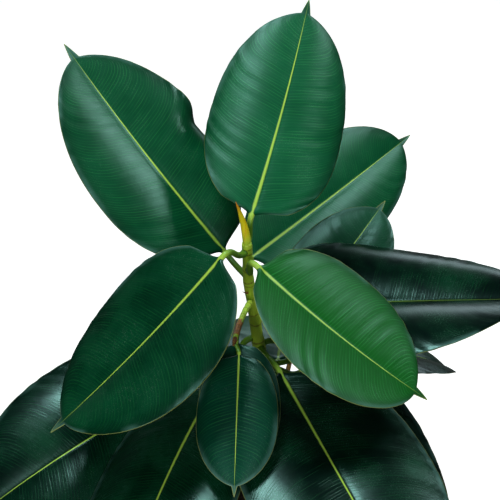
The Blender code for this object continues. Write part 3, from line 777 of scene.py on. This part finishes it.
def husk_look():
    """Dry papery scale."""
    look, shader, w = new_look("papery_husk")
    dark = [0.35 * c for c in settings().stem.husk]
    skin = place_group(w, mottle_group(), Place=w.stretched(w.place(), (1.0, 1.0, 0.4)), Patch_Size=0.003,
                       Grain_Size=0.0005, Contrast=0.9, Low=dark, High=settings().stem.husk)
    w.feed(shader.inputs["Base Color"], skin["Color"])
    w.feed(shader.inputs["Roughness"], w.math("ADD", 0.6, w.math("MULTIPLY", skin["Grain"], 0.3)))
    add_bump(w, shader, skin["Grain"], 0.0005)
    return look


def cane_look():
    """Bamboo: long pale streaks, darker joints."""
    look, shader, w = new_look("bamboo")
    tan = settings().stem.cane
    place = w.stretched(w.place(), (1.0, 1.0, 0.05))
    skin = place_group(w, mottle_group(), Place=place, Patch_Size=0.003, Grain_Size=0.0004, Contrast=0.6,
                       Low=[0.55 * c for c in tan], High=tan)
    skin_colour = w.mix(w.attribute("ring"), skin["Color"], [0.22 * c for c in tan])
    w.feed(shader.inputs["Base Color"], skin_colour)
    w.feed(shader.inputs["Roughness"], w.ramp(skin["Grain"], 0.2, 0.8, 0.35, 0.6))
    add_bump(w, shader, skin["Grain"], 0.0003)
    return look


def clay_look():
    """Fired clay with pale mineral bloom, turning marks and a fine grain."""
    pot = settings().pot
    look, shader, w = new_look("fired_clay")
    place = w.place()
    warm = place_group(w, mottle_group(), Place=w.stretched(place, (1.0, 1.0, 2.2)), Patch_Size=0.05,
                       Grain_Size=0.0016, Contrast=0.5, Low=[0.72 * c for c in pot.clay], High=pot.clay)
    bloom = place_group(w, mottle_group(), Place=place, Patch_Size=0.035, Grain_Size=0.003, Contrast=1.4,
                        Low=(0, 0, 0), High=(1, 1, 1))
    low_down = w.ramp(w.attribute("height"), 0.15, 0.0, 0.10, 0.55)
    chalk = w.math("MULTIPLY", w.ramp(bloom["Color"], 0.45, 0.95), low_down)
    skin = w.mix(chalk, warm["Color"], pot.bloom)
    pits = w.noise(place, 620.0, 2.0)
    skin = w.mix(w.ramp(pits, 0.34, 0.22, 0.0, 0.6), skin, [0.45 * c for c in pot.clay])
    w.feed(shader.inputs["Base Color"], skin)
    w.feed(shader.inputs["Roughness"], w.math("ADD", 0.72, w.math("MULTIPLY", chalk, 0.2)))
    height = w.math("ADD", w.math("MULTIPLY", warm["Grain"], 0.5), w.ramp(pits, 0.22, 0.4))
    add_bump(w, shader, height, 0.00035)
    return look


def soil_look():
    """Dark potting mix; bark chips and perlite take their colour from what each grain is."""
    pot = settings().pot
    look, shader, w = new_look("potting_mix")
    place = w.place()
    peat = place_group(w, mottle_group(), Place=place, Patch_Size=0.008, Grain_Size=0.0012, Contrast=1.2,
                       Low=[0.35 * c for c in pot.peat], High=pot.peat)
    bark = place_group(w, mottle_group(), Place=place, Patch_Size=0.004, Grain_Size=0.0007, Contrast=1.0,
                       Low=[0.3 * c for c in pot.bark], High=pot.bark)
    kind = w.attribute("grain")
    skin = w.mix(w.ramp(kind, 0.2, 0.4), peat["Color"], bark["Color"])
    skin = w.mix(w.ramp(kind, 0.7, 0.9), skin, pot.perlite)
    w.feed(shader.inputs["Base Color"], skin)
    shader.inputs["Roughness"].default_value = 0.92
    add_bump(w, shader, w.math("ADD", peat["Grain"], bark["Grain"]), 0.0012)
    return look


# ---------------------------------------------------------------- pieces
def build_leaf(leaf, start, leave, radius, look):
    """One leaf with its petiole."""
    places, values = leaf_places(leaf, start, leave, radius)
    add_piece(leaf.node + "_fine", wrapped_skin(places, values), leaf.node, look)


def build_big_leaves():
    """Each petiole starts at the stem's skin, on the side its blade lies."""
    look = leaf_look("waxy_blade", settings().leaf.blade)
    for leaf in BIG_LEAVES:
        centre = stem_point(leaf.height)
        leave = np.array(leaf.base) - centre
        leave[2] = 0.0
        leave /= np.linalg.norm(leave)
        start = centre + leave * (stem_radius(leaf.height) - GAP)
        build_leaf(leaf, start, leave, settings().leaf.petiole, look)


def build_small_leaves():
    """The two young leaves that hang from the side shoot's end."""
    look = leaf_look("young_blade", settings().leaf.young)
    for leaf, start in zip(SMALL_LEAVES, SMALL_PETIOLE_STARTS):
        start = np.array(start)
        leave = np.array(leaf.base) - start
        leave /= np.linalg.norm(leave)
        build_leaf(leaf, start, leave, settings().leaf.small_petiole, look)


def build_main_stem():
    """A leaning stem that swells at its nodes, each with a brown scar ring."""
    rows, sides = 640, 36
    route = smooth_route(STEM_ROUTE, rows)
    height = route[:, 2]
    turn = np.linspace(0, 2 * pi, sides, endpoint=False)
    radius = np.repeat(stem_radius(height)[:, None], sides, 1)
    ring = np.zeros((rows, sides))
    nodes = [(leaf.height - 0.0035, 1.0) for leaf in BIG_LEAVES] + [(h, 0.75) for h in SCAR_HEIGHTS]
    for i, (place, bold) in enumerate(nodes):
        tilt = 0.0010 * np.sin(turn + 2.4 * i)
        gap = height[:, None] - place - tilt
        radius += 0.00050 * bold * np.exp(-(gap / 0.0030) ** 2)
        radius -= 0.00038 * bold * np.exp(-(gap / 0.0007) ** 2)
        ring = np.maximum(ring, bold * np.exp(-(gap / 0.00075) ** 2))
    radius += 0.00012 * np.sin(3 * turn + height[:, None] * 90)
    radius += 0.00008 * np.sin(7 * turn - height[:, None] * 60)
    values = {"ring": ring, "age": np.repeat(eased((0.345 - height) / 0.09)[:, None], sides, 1)}
    bm = wrapped_skin(tube_places(route, radius, sides), values)
    add_piece("main_stem_fine", bm, "main_stem", stem_look())


def build_bud_sheath():
    """A slender horn on the stem's top, its wrapped edge winding up to the tip."""
    stem = settings().stem
    rows, sides = 90, 28
    u = np.linspace(0, 1, rows)
    swell = np.interp(u, (0.0, 0.05, 0.14, 0.3, 0.5, 0.7, 0.88, 1.0),
                      (0.86, 1.0, 1.0, 0.93, 0.74, 0.5, 0.27, 0.05))
    top = stem_point(STEM_ROUTE[-1][2])
    route = top + np.stack([-0.010 * u ** 1.5, 0.0015 * np.sin(pi * u), GAP + stem.sheath_length * u], -1)
    turn = np.linspace(0, 2 * pi, sides, endpoint=False)
    lap = np.mod(turn[None] - 3.9 * u[:, None] - 3.6, 2 * pi)
    step = 0.00035 * (1 - u[:, None]) * (1 - lap / (2 * pi))
    radius = stem.sheath_radius * swell[:, None] * (1 + 0.03 * np.cos(2 * turn)) + step
    values = {"along": np.repeat(u[:, None], sides, 1), "seam": 0.6 * np.exp(-(lap / 0.25) ** 2)}
    bm = wrapped_skin(tube_places(route, radius, sides), values)
    add_piece("bud_sheath_fine", bm, "bud_sheath", sheath_look())


def build_side_shoot():
    """The short green side shoot, its outer end wrapped by a dry brown sheath."""
    rows, sides = 160, 26
    u = np.linspace(0, 1, rows)
    route = smooth_route(SHOOT_ROUTE, rows)
    turn = np.linspace(0, 2 * pi, sides, endpoint=False)
    radius = np.repeat((settings().stem.shoot_radius * (1.0 - 0.2 * u))[:, None], sides, 1)
    ring = np.zeros((rows, sides))
    for place, bold in ((0.10, 0.9), (0.27, 0.8), (0.44, 0.7)):
        gap = (u[:, None] - place - 0.012 * np.sin(turn)) * SHOOT_LENGTH
        radius += 0.0003 * np.exp(-(gap / 0.002) ** 2) - 0.0003 * np.exp(-(gap / 0.0006) ** 2)
        ring = np.maximum(ring, bold * np.exp(-(gap / 0.0007) ** 2))
    frayed = 0.60 + 0.03 * np.sin(3 * turn) + 0.02 * np.sin(8 * turn + 1)
    dry = eased((u[:, None] - frayed) / 0.012) * eased((0.965 - u[:, None]) / 0.03)
    radius += 0.0004 * dry
    values = {"ring": ring, "age": np.zeros((rows, sides)), "dry": dry}
    bm = wrapped_skin(tube_places(route, radius, sides), values)
    add_piece("side_shoot_fine", bm, "side_shoot", stem_look())


def build_husks():
    """The brown sheath that closes the side shoot, and the curled scale that clings to the stem."""
    look = husk_look()
    rows, sides = 40, 20
    u = np.linspace(0, 1, rows)
    end, tip = np.array(SHOOT_ROUTE[-1]), np.array(SIDE_BUD_TIP)
    ahead = (tip - end) / np.linalg.norm(tip - end)
    route = end + ahead * 2 * GAP + (tip - end) * u[:, None]
    turn = np.linspace(0, 2 * pi, sides, endpoint=False)
    swell = np.interp(u, (0.0, 0.3, 0.65, 0.9, 1.0), (0.9, 1.0, 0.7, 0.35, 0.12))
    radius = 0.0022 * swell[:, None] * (1 + 0.08 * np.sin(5 * turn + 4 * u[:, None]))
    add_piece("side_bud_fine", wrapped_skin(tube_places(route, radius, sides)), "side_bud", look)

    centre, reach = stem_point(STIPULE_HEIGHT), stem_radius(STIPULE_HEIGHT)
    bm = bmesh.new()
    columns, tall = 40, 12
    bmesh.ops.create_grid(bm, x_segments=columns, y_segments=tall, size=0.5)
    for vert in bm.verts:
        x, y = vert.co.x + 0.5, vert.co.y
        spread = radians(255 - 70 * x)
        curl = 0.0012 * (y + 0.5) ** 2 + 0.0007 * x * (0.6 + 0.4 * sin(9 * y + 5 * x))
        out = reach + 3 * GAP + curl
        height = 0.0032 * (1 - 0.6 * x) * (1 + 0.18 * sin(23 * x)) * y + 0.0035 * (0.5 - x)
        vert.co = Vector(centre) + Vector((out * cos(spread), out * sin(spread), height))
    bmesh.ops.solidify(bm, geom=bm.faces, thickness=0.00035)
    bmesh.ops.recalc_face_normals(bm, faces=bm.faces)
    add_piece("dried_stipule_fine", bm, "dried_stipule", look)


def build_cane():
    """A thin bamboo cane with joints and a cut, hollow top."""
    stem = settings().stem
    rows, sides = 260, 24
    u = np.linspace(0, 1, rows)
    low, high = np.array(CANE_BOTTOM), np.array(CANE_TOP)
    route = low + (high - low) * u[:, None]
    radius = np.repeat((stem.cane_radius * (1.0 - 0.06 * u))[:, None], sides, 1)
    ring = np.zeros((rows, sides))
    for place in (0.30, 0.62, 0.93):
        gap = (u[:, None] - place) * CANE_LENGTH
        radius += 0.00042 * np.exp(-(gap / 0.0016) ** 2) - 0.0002 * np.exp(-((gap - 0.0022) / 0.0006) ** 2)
        ring = np.maximum(ring, 0.8 * np.exp(-((gap + 0.0012) / 0.0006) ** 2) * np.ones(sides))
    bm = wrapped_skin(tube_places(route, radius, sides), {"ring": ring})
    top = max(bm.faces, key=lambda face: face.calc_center_median().z)
    bmesh.ops.inset_region(bm, faces=[top], thickness=0.0009)
    bmesh.ops.translate(bm, verts=top.verts, vec=(low - high) / np.linalg.norm(low - high) * 0.004)
    add_piece("cane_fine", bm, "cane", cane_look())


def pot_inner_radius(height):
    """Inside radius of the tapering pot body."""
    pot = settings().pot
    body_top = pot.rim_radius - pot.rim_step
    return pot.base_radius + (body_top - pot.base_radius) * height / (pot.height - pot.rim_height) - pot.wall


def spun(profile, steps):
    """A closed (radius, height) profile turned about the pot's axis."""
    bm = bmesh.new()
    verts = [bm.verts.new((radius, 0.0, height)) for radius, height in profile]
    edges = [bm.edges.new(pair) for pair in zip(verts, verts[1:])]
    bmesh.ops.spin(bm, geom=verts + edges, cent=(0, 0, 0), axis=(0, 0, 1), angle=2 * pi, steps=steps,
                   use_merge=True)
    bmesh.ops.remove_doubles(bm, verts=bm.verts, dist=1e-6)
    bmesh.ops.recalc_face_normals(bm, faces=bm.faces)
    return bm


def fine_profile(corners, step):
    """Points at most a step apart along a profile's straight runs."""
    points = [corners[0]]
    for (r1, h1), (r2, h2) in zip(corners, corners[1:]):
        count = max(1, round(np.hypot(r2 - r1, h2 - h1) / step))
        points += [(r1 + (r2 - r1) * i / count, h1 + (h2 - h1) * i / count) for i in range(1, count + 1)]
    return points


def build_pot():
    """A turned clay pot with faint turning marks, a thick rim band and drain holes."""
    pot = settings().pot
    body_top, shoulder = pot.rim_radius - pot.rim_step, pot.height - pot.rim_height
    inner_rim = pot.rim_radius - pot.wall - 0.002
    corners = [
        (0.0, 0.0), (pot.base_radius - 0.002, 0.0), (pot.base_radius - 0.0006, 0.0006),
        (pot.base_radius, 0.002),
        (body_top - 0.0015, shoulder), (pot.rim_radius - 0.002, shoulder + 0.001),
        (pot.rim_radius - 0.0012, shoulder + 0.0018), (pot.rim_radius - 0.001, shoulder + 0.003),
        (pot.rim_radius, pot.height - 0.003), (pot.rim_radius - 0.0006, pot.height - 0.0008),
        (pot.rim_radius - 0.002, pot.height), (inner_rim + 0.002, pot.height),
        (inner_rim + 0.0006, pot.height - 0.0008), (inner_rim, pot.height - 0.003),
        (pot_inner_radius(shoulder), shoulder - 0.002), (pot_inner_radius(pot.floor), pot.floor),
        (0.0, pot.floor),
    ]
    bm = spun(fine_profile(corners, POT_STEP), POT_TURNS)
    marks = bm.verts.layers.float.new("height")
    for vert in bm.verts:
        vert[marks] = vert.co.z
        radius = Vector((vert.co.x, vert.co.y)).length
        if 0.004 < vert.co.z < shoulder - 0.002 and radius > pot_inner_radius(vert.co.z) + 0.5 * pot.wall:
            wobble = 0.00016 * sin(vert.co.z * 900) + 0.0003 * noise.noise(vert.co * 30)
            vert.co += Vector((vert.co.x, vert.co.y, 0)) / radius * wobble
    piece = add_piece("pot_fine", bm, None, clay_look())
    drills = []
    for i in range(3):
        angle = 2 * pi * (i + 0.25) / 3
        bm = bmesh.new()
        spot = Matrix.Translation((pot.hole_circle * cos(angle), pot.hole_circle * sin(angle), pot.floor / 2))
        bmesh.ops.create_cone(bm, cap_ends=True, segments=32, radius1=pot.hole_radius,
                              radius2=pot.hole_radius, depth=0.03, matrix=spot)
        mesh = bpy.data.meshes.new("drill")
        bm.to_mesh(mesh)
        bm.free()
        drill = bpy.data.objects.new("drill", mesh)
        bpy.context.scene.collection.objects.link(drill)
        cut = piece.modifiers.new("drain_hole", "BOOLEAN")
        cut.operation, cut.object = "DIFFERENCE", drill
        drills.append(drill)
    holed = bpy.data.meshes.new_from_object(piece.evaluated_get(bpy.context.evaluated_depsgraph_get()))
    piece.modifiers.clear()
    piece.data = holed
    holed.set_sharp_from_angle(angle=radians(50))
    for drill in drills:
        bpy.data.objects.remove(drill)
    fit_to_node(piece, "pot")
    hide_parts("pot")


def build_soil():
    """Crumbly potting mix with bark chips and perlite, up to just under the rim."""
    pot = settings().pot
    shoulder, rim_inner = pot.height - pot.rim_height - 0.002, pot.rim_radius - pot.wall - 0.002
    inner = pot_inner_radius(shoulder)
    at_level = inner + (rim_inner - inner) * (pot.soil_level - shoulder) / (pot.height - 0.003 - shoulder)
    gap = 2 * GAP
    corners = [
        (0.0, pot.floor + GAP), (pot_inner_radius(pot.floor) - gap, pot.floor + GAP), (inner - gap, shoulder),
        (at_level - gap, pot.soil_level - 0.001), (0.055, pot.soil_level + 0.001),
        (0.0, pot.soil_level + 0.002),
    ]
    bm = spun(fine_profile(corners, SOIL_STEP), SOIL_TURNS)
    kind = bm.verts.layers.float.new("grain")
    for vert in bm.verts:
        if vert.co.z > pot.soil_level - 0.0015:
            edge = min(1.0, (at_level - Vector((vert.co.x, vert.co.y)).length) / 0.006)
            rough = noise.fractal(vert.co * 130, 0.8, 2.1, 5) * 0.0012 + noise.noise(vert.co * 28) * 0.0012
            vert.co.z += rough * edge + 0.0003
    dice = np.random.default_rng(GRAIN_SEED)
    stem_spot, cane_spot = stem_point(pot.soil_level)[:2], np.array(CANE_BOTTOM[:2]) + (0.0065, -0.0014)
    for _ in range(GRAIN_DRAWS):
        angle, out = dice.uniform(0, 2 * pi), at_level * 0.975 * np.sqrt(dice.uniform())
        spot = np.array([out * cos(angle), out * sin(angle)])
        big = dice.uniform(0.0008, 0.0021)
        what = dice.choice([0.0, 0.5, 1.0], p=[0.5, 0.36, 0.14])
        flat = dice.uniform(0.35, 0.6) if what == 0.5 else dice.uniform(0.7, 1.0)
        reach = big * (1.7 if what == 0.5 else 1.0)
        turn = Matrix.Rotation(dice.uniform(0, 2 * pi), 4, "Z")
        turn = turn @ Matrix.Rotation(dice.uniform(-0.5, 0.5), 4, "X")
        clear = reach + 0.0095
        if np.linalg.norm(spot - stem_spot) < clear or np.linalg.norm(spot - cane_spot) < clear - 0.005:
            continue
        level = pot.soil_level + 0.0012 * (1 - out / at_level) + 0.0003
        place = Matrix.Translation((*spot, level + big * 0.25)) @ turn @ Matrix.Diagonal(
            (reach, big * dice.uniform(0.7, 1.0), big * flat, 1.0))
        grain = bmesh.ops.create_icosphere(bm, subdivisions=1, radius=1.0, matrix=place)["verts"]
        for vert in grain:
            vert.co += Vector(dice.uniform(-0.22, 0.22, 3) * big)
            vert[kind] = what
    add_piece("soil_fine", bm, "soil", soil_look(), smooth=False)


def build_stage():
    """A plain pale floor, soft studio light and the camera."""
    scene = bpy.context.scene
    bm = bmesh.new()
    bmesh.ops.create_grid(bm, x_segments=4, y_segments=4, size=25.0)
    bmesh.ops.translate(bm, verts=bm.verts, vec=(0, 0, -0.0004))
    mesh = bpy.data.meshes.new("floor")
    bm.to_mesh(mesh)
    bm.free()
    look, shader, w = new_look("floor")
    seen = w.put("LightPath").outputs["Is Camera Ray"]
    w.feed(shader.inputs["Base Color"], w.mix(seen, (0.12, 0.12, 0.12), (0.86, 0.86, 0.86)))
    shader.inputs["Roughness"].default_value = 0.9
    shader.inputs["Specular IOR Level"].default_value = 0.1
    shader.inputs["Emission Color"].default_value = (1, 1, 1, 1)
    w.feed(shader.inputs["Emission Strength"], w.math("MULTIPLY", seen, 0.72))
    mesh.materials.append(look)
    floor = bpy.data.objects.new("floor", mesh)
    scene.collection.objects.link(floor)

    world = bpy.data.worlds.new("studio")
    world.use_nodes = True
    scene.world = world
    w = Wiring(world.node_tree)
    ground = world.node_tree.nodes["Background"]
    split = w.put("SeparateXYZ")
    w.feed(split.inputs[0], w.put("TexCoord").outputs["Generated"])
    x, y, z = split.outputs
    back = w.math("MULTIPLY", w.ramp(y, 0.25, 0.75), w.ramp(z, 0.85, 0.35))
    skyline = w.math("MULTIPLY", w.ramp(y, 0.7, 0.95), w.ramp(z, 0.30, 0.16))
    right = w.math("MULTIPLY", w.ramp(x, 0.45, 0.85), w.ramp(z, 0.45, 0.20))
    overhead = w.ramp(z, 0.80, 1.0)
    glow = w.math("ADD", w.math("MULTIPLY", back, 0.03), w.math("MULTIPLY", skyline, 1.9))
    glow = w.math("ADD", glow, w.math("MULTIPLY", right, 0.06))
    glow = w.math("ADD", w.math("ADD", glow, w.math("MULTIPLY", overhead, 0.10)), 0.006)
    tint = w.mix(1.0, (0.78, 0.94, 1.0), w.vector(glow, glow, glow), "MULTIPLY")
    seen = w.mix(w.put("LightPath").outputs["Is Camera Ray"], tint, (1, 1, 1))
    w.feed(ground.inputs["Color"], seen)

    for name, spot, aim, size, power, tint in (
        ("key", (1.25, 0.50, 1.95), (-0.02, -0.05, 0.45), 0.5, 12.0, (0.94, 1.0, 0.98)),
        ("top", (-0.35, 0.35, 2.2), (-0.05, 0.0, 0.45), 0.5, 17.0, (0.90, 1.0, 1.0)),
        ("fill", (-0.5, -1.9, 0.9), (0.0, -0.05, 0.45), 0.8, 17.0, (1.0, 1.0, 0.95)),
        ("front", (-0.1, -1.5, 1.9), (-0.02, -0.05, 0.45), 0.6, 4.0, (1.0, 1.0, 0.95)),
    ):
        lamp = bpy.data.lights.new(name, "AREA")
        lamp.shape, lamp.size, lamp.energy, lamp.color = "SQUARE", size, power, tint
        light = bpy.data.objects.new(name, lamp)
        light.location = spot
        light.rotation_euler = (Vector(aim) - Vector(spot)).to_track_quat("-Z", "Y").to_euler()
        scene.collection.objects.link(light)

    lens = bpy.data.cameras.new("camera")
    lens.sensor_width, lens.lens = 36.0, 92.6
    camera = bpy.data.objects.new("camera", lens)
    camera.location = (-0.026, -0.9696, 1.2508)
    camera.rotation_euler = (radians(52), 0, 0)
    scene.collection.objects.link(camera)
    scene.camera = camera
    scene.view_settings.view_transform = "Standard"


# ---------------------------------------------------------------- operators
class RUBBERPLANT_OT_big_leaves(bpy.types.Operator):
    """Build the fourteen leaves on the main stem."""

    bl_idname = "rubberplant.big_leaves"
    bl_label = "Big leaves"
    bl_options = {"REGISTER", "UNDO"}

    def execute(self, context):
        build_big_leaves()
        return {"FINISHED"}


class RUBBERPLANT_OT_small_leaves(bpy.types.Operator):
    """Build the two young leaves on the side shoot."""

    bl_idname = "rubberplant.small_leaves"
    bl_label = "Young leaves"
    bl_options = {"REGISTER", "UNDO"}

    def execute(self, context):
        build_small_leaves()
        return {"FINISHED"}


class RUBBERPLANT_OT_main_stem(bpy.types.Operator):
    """Build the leaning main stem."""

    bl_idname = "rubberplant.main_stem"
    bl_label = "Main stem"
    bl_options = {"REGISTER", "UNDO"}

    def execute(self, context):
        build_main_stem()
        return {"FINISHED"}


class RUBBERPLANT_OT_bud_sheath(bpy.types.Operator):
    """Build the sheath that wraps the next leaf."""

    bl_idname = "rubberplant.bud_sheath"
    bl_label = "Bud sheath"
    bl_options = {"REGISTER", "UNDO"}

    def execute(self, context):
        build_bud_sheath()
        return {"FINISHED"}


class RUBBERPLANT_OT_side_shoot(bpy.types.Operator):
    """Build the short side shoot."""

    bl_idname = "rubberplant.side_shoot"
    bl_label = "Side shoot"
    bl_options = {"REGISTER", "UNDO"}

    def execute(self, context):
        build_side_shoot()
        return {"FINISHED"}


class RUBBERPLANT_OT_husks(bpy.types.Operator):
    """Build the side bud and the dried stipule."""

    bl_idname = "rubberplant.husks"
    bl_label = "Dry husks"
    bl_options = {"REGISTER", "UNDO"}

    def execute(self, context):
        build_husks()
        return {"FINISHED"}


class RUBBERPLANT_OT_cane(bpy.types.Operator):
    """Build the support cane."""

    bl_idname = "rubberplant.cane"
    bl_label = "Cane"
    bl_options = {"REGISTER", "UNDO"}

    def execute(self, context):
        build_cane()
        return {"FINISHED"}


class RUBBERPLANT_OT_pot(bpy.types.Operator):
    """Build the clay pot."""

    bl_idname = "rubberplant.pot"
    bl_label = "Pot"
    bl_options = {"REGISTER", "UNDO"}

    def execute(self, context):
        build_pot()
        return {"FINISHED"}


class RUBBERPLANT_OT_soil(bpy.types.Operator):
    """Build the potting mix."""

    bl_idname = "rubberplant.soil"
    bl_label = "Soil"
    bl_options = {"REGISTER", "UNDO"}

    def execute(self, context):
        build_soil()
        return {"FINISHED"}


class RUBBERPLANT_OT_stage(bpy.types.Operator):
    """Build the floor, the lights and the camera."""

    bl_idname = "rubberplant.stage"
    bl_label = "Stage"
    bl_options = {"REGISTER", "UNDO"}

    def execute(self, context):
        build_stage()
        return {"FINISHED"}


OPERATORS = [
    RUBBERPLANT_OT_big_leaves,
    RUBBERPLANT_OT_small_leaves,
    RUBBERPLANT_OT_main_stem,
    RUBBERPLANT_OT_bud_sheath,
    RUBBERPLANT_OT_side_shoot,
    RUBBERPLANT_OT_husks,
    RUBBERPLANT_OT_cane,
    RUBBERPLANT_OT_pot,
    RUBBERPLANT_OT_soil,
    RUBBERPLANT_OT_stage,
]


class RUBBERPLANT_PT_panel(bpy.types.Panel):
    """The plant's settings and its building steps."""

    bl_idname = "RUBBERPLANT_PT_panel"
    bl_label = "Rubber plant"
    bl_space_type = "VIEW_3D"
    bl_region_type = "UI"
    bl_category = "Rubber plant"

    def draw(self, context):
        """List the steps in order, then the settings of each part."""
        for step in OPERATORS:
            self.layout.operator(step.bl_idname)
        plant = context.scene.rubber_plant
        for part in (plant.leaf, plant.stem, plant.pot):
            box = self.layout.box()
            for name in part.__annotations__:
                box.prop(part, name)


CLASSES = [LeafSettings, StemSettings, PotSettings, PlantSettings, *OPERATORS, RUBBERPLANT_PT_panel]


def register():
    """Make the settings, the operators and the panel known."""
    for cls in CLASSES:
        bpy.utils.register_class(cls)
    bpy.types.Scene.rubber_plant = bpy.props.PointerProperty(type=PlantSettings)


def unregister():
    """Take the settings, the operators and the panel away again."""
    del bpy.types.Scene.rubber_plant
    for cls in reversed(CLASSES):
        bpy.utils.unregister_class(cls)


def main():
    """Build the plant step by step."""
    register()
    bpy.ops.rubberplant.big_leaves()
    bpy.ops.rubberplant.small_leaves()
    bpy.ops.rubberplant.main_stem()
    bpy.ops.rubberplant.bud_sheath()
    bpy.ops.rubberplant.side_shoot()
    bpy.ops.rubberplant.husks()
    bpy.ops.rubberplant.cane()
    bpy.ops.rubberplant.pot()
    bpy.ops.rubberplant.soil()
    bpy.ops.rubberplant.stage()


if __name__ == "__main__":
    main()
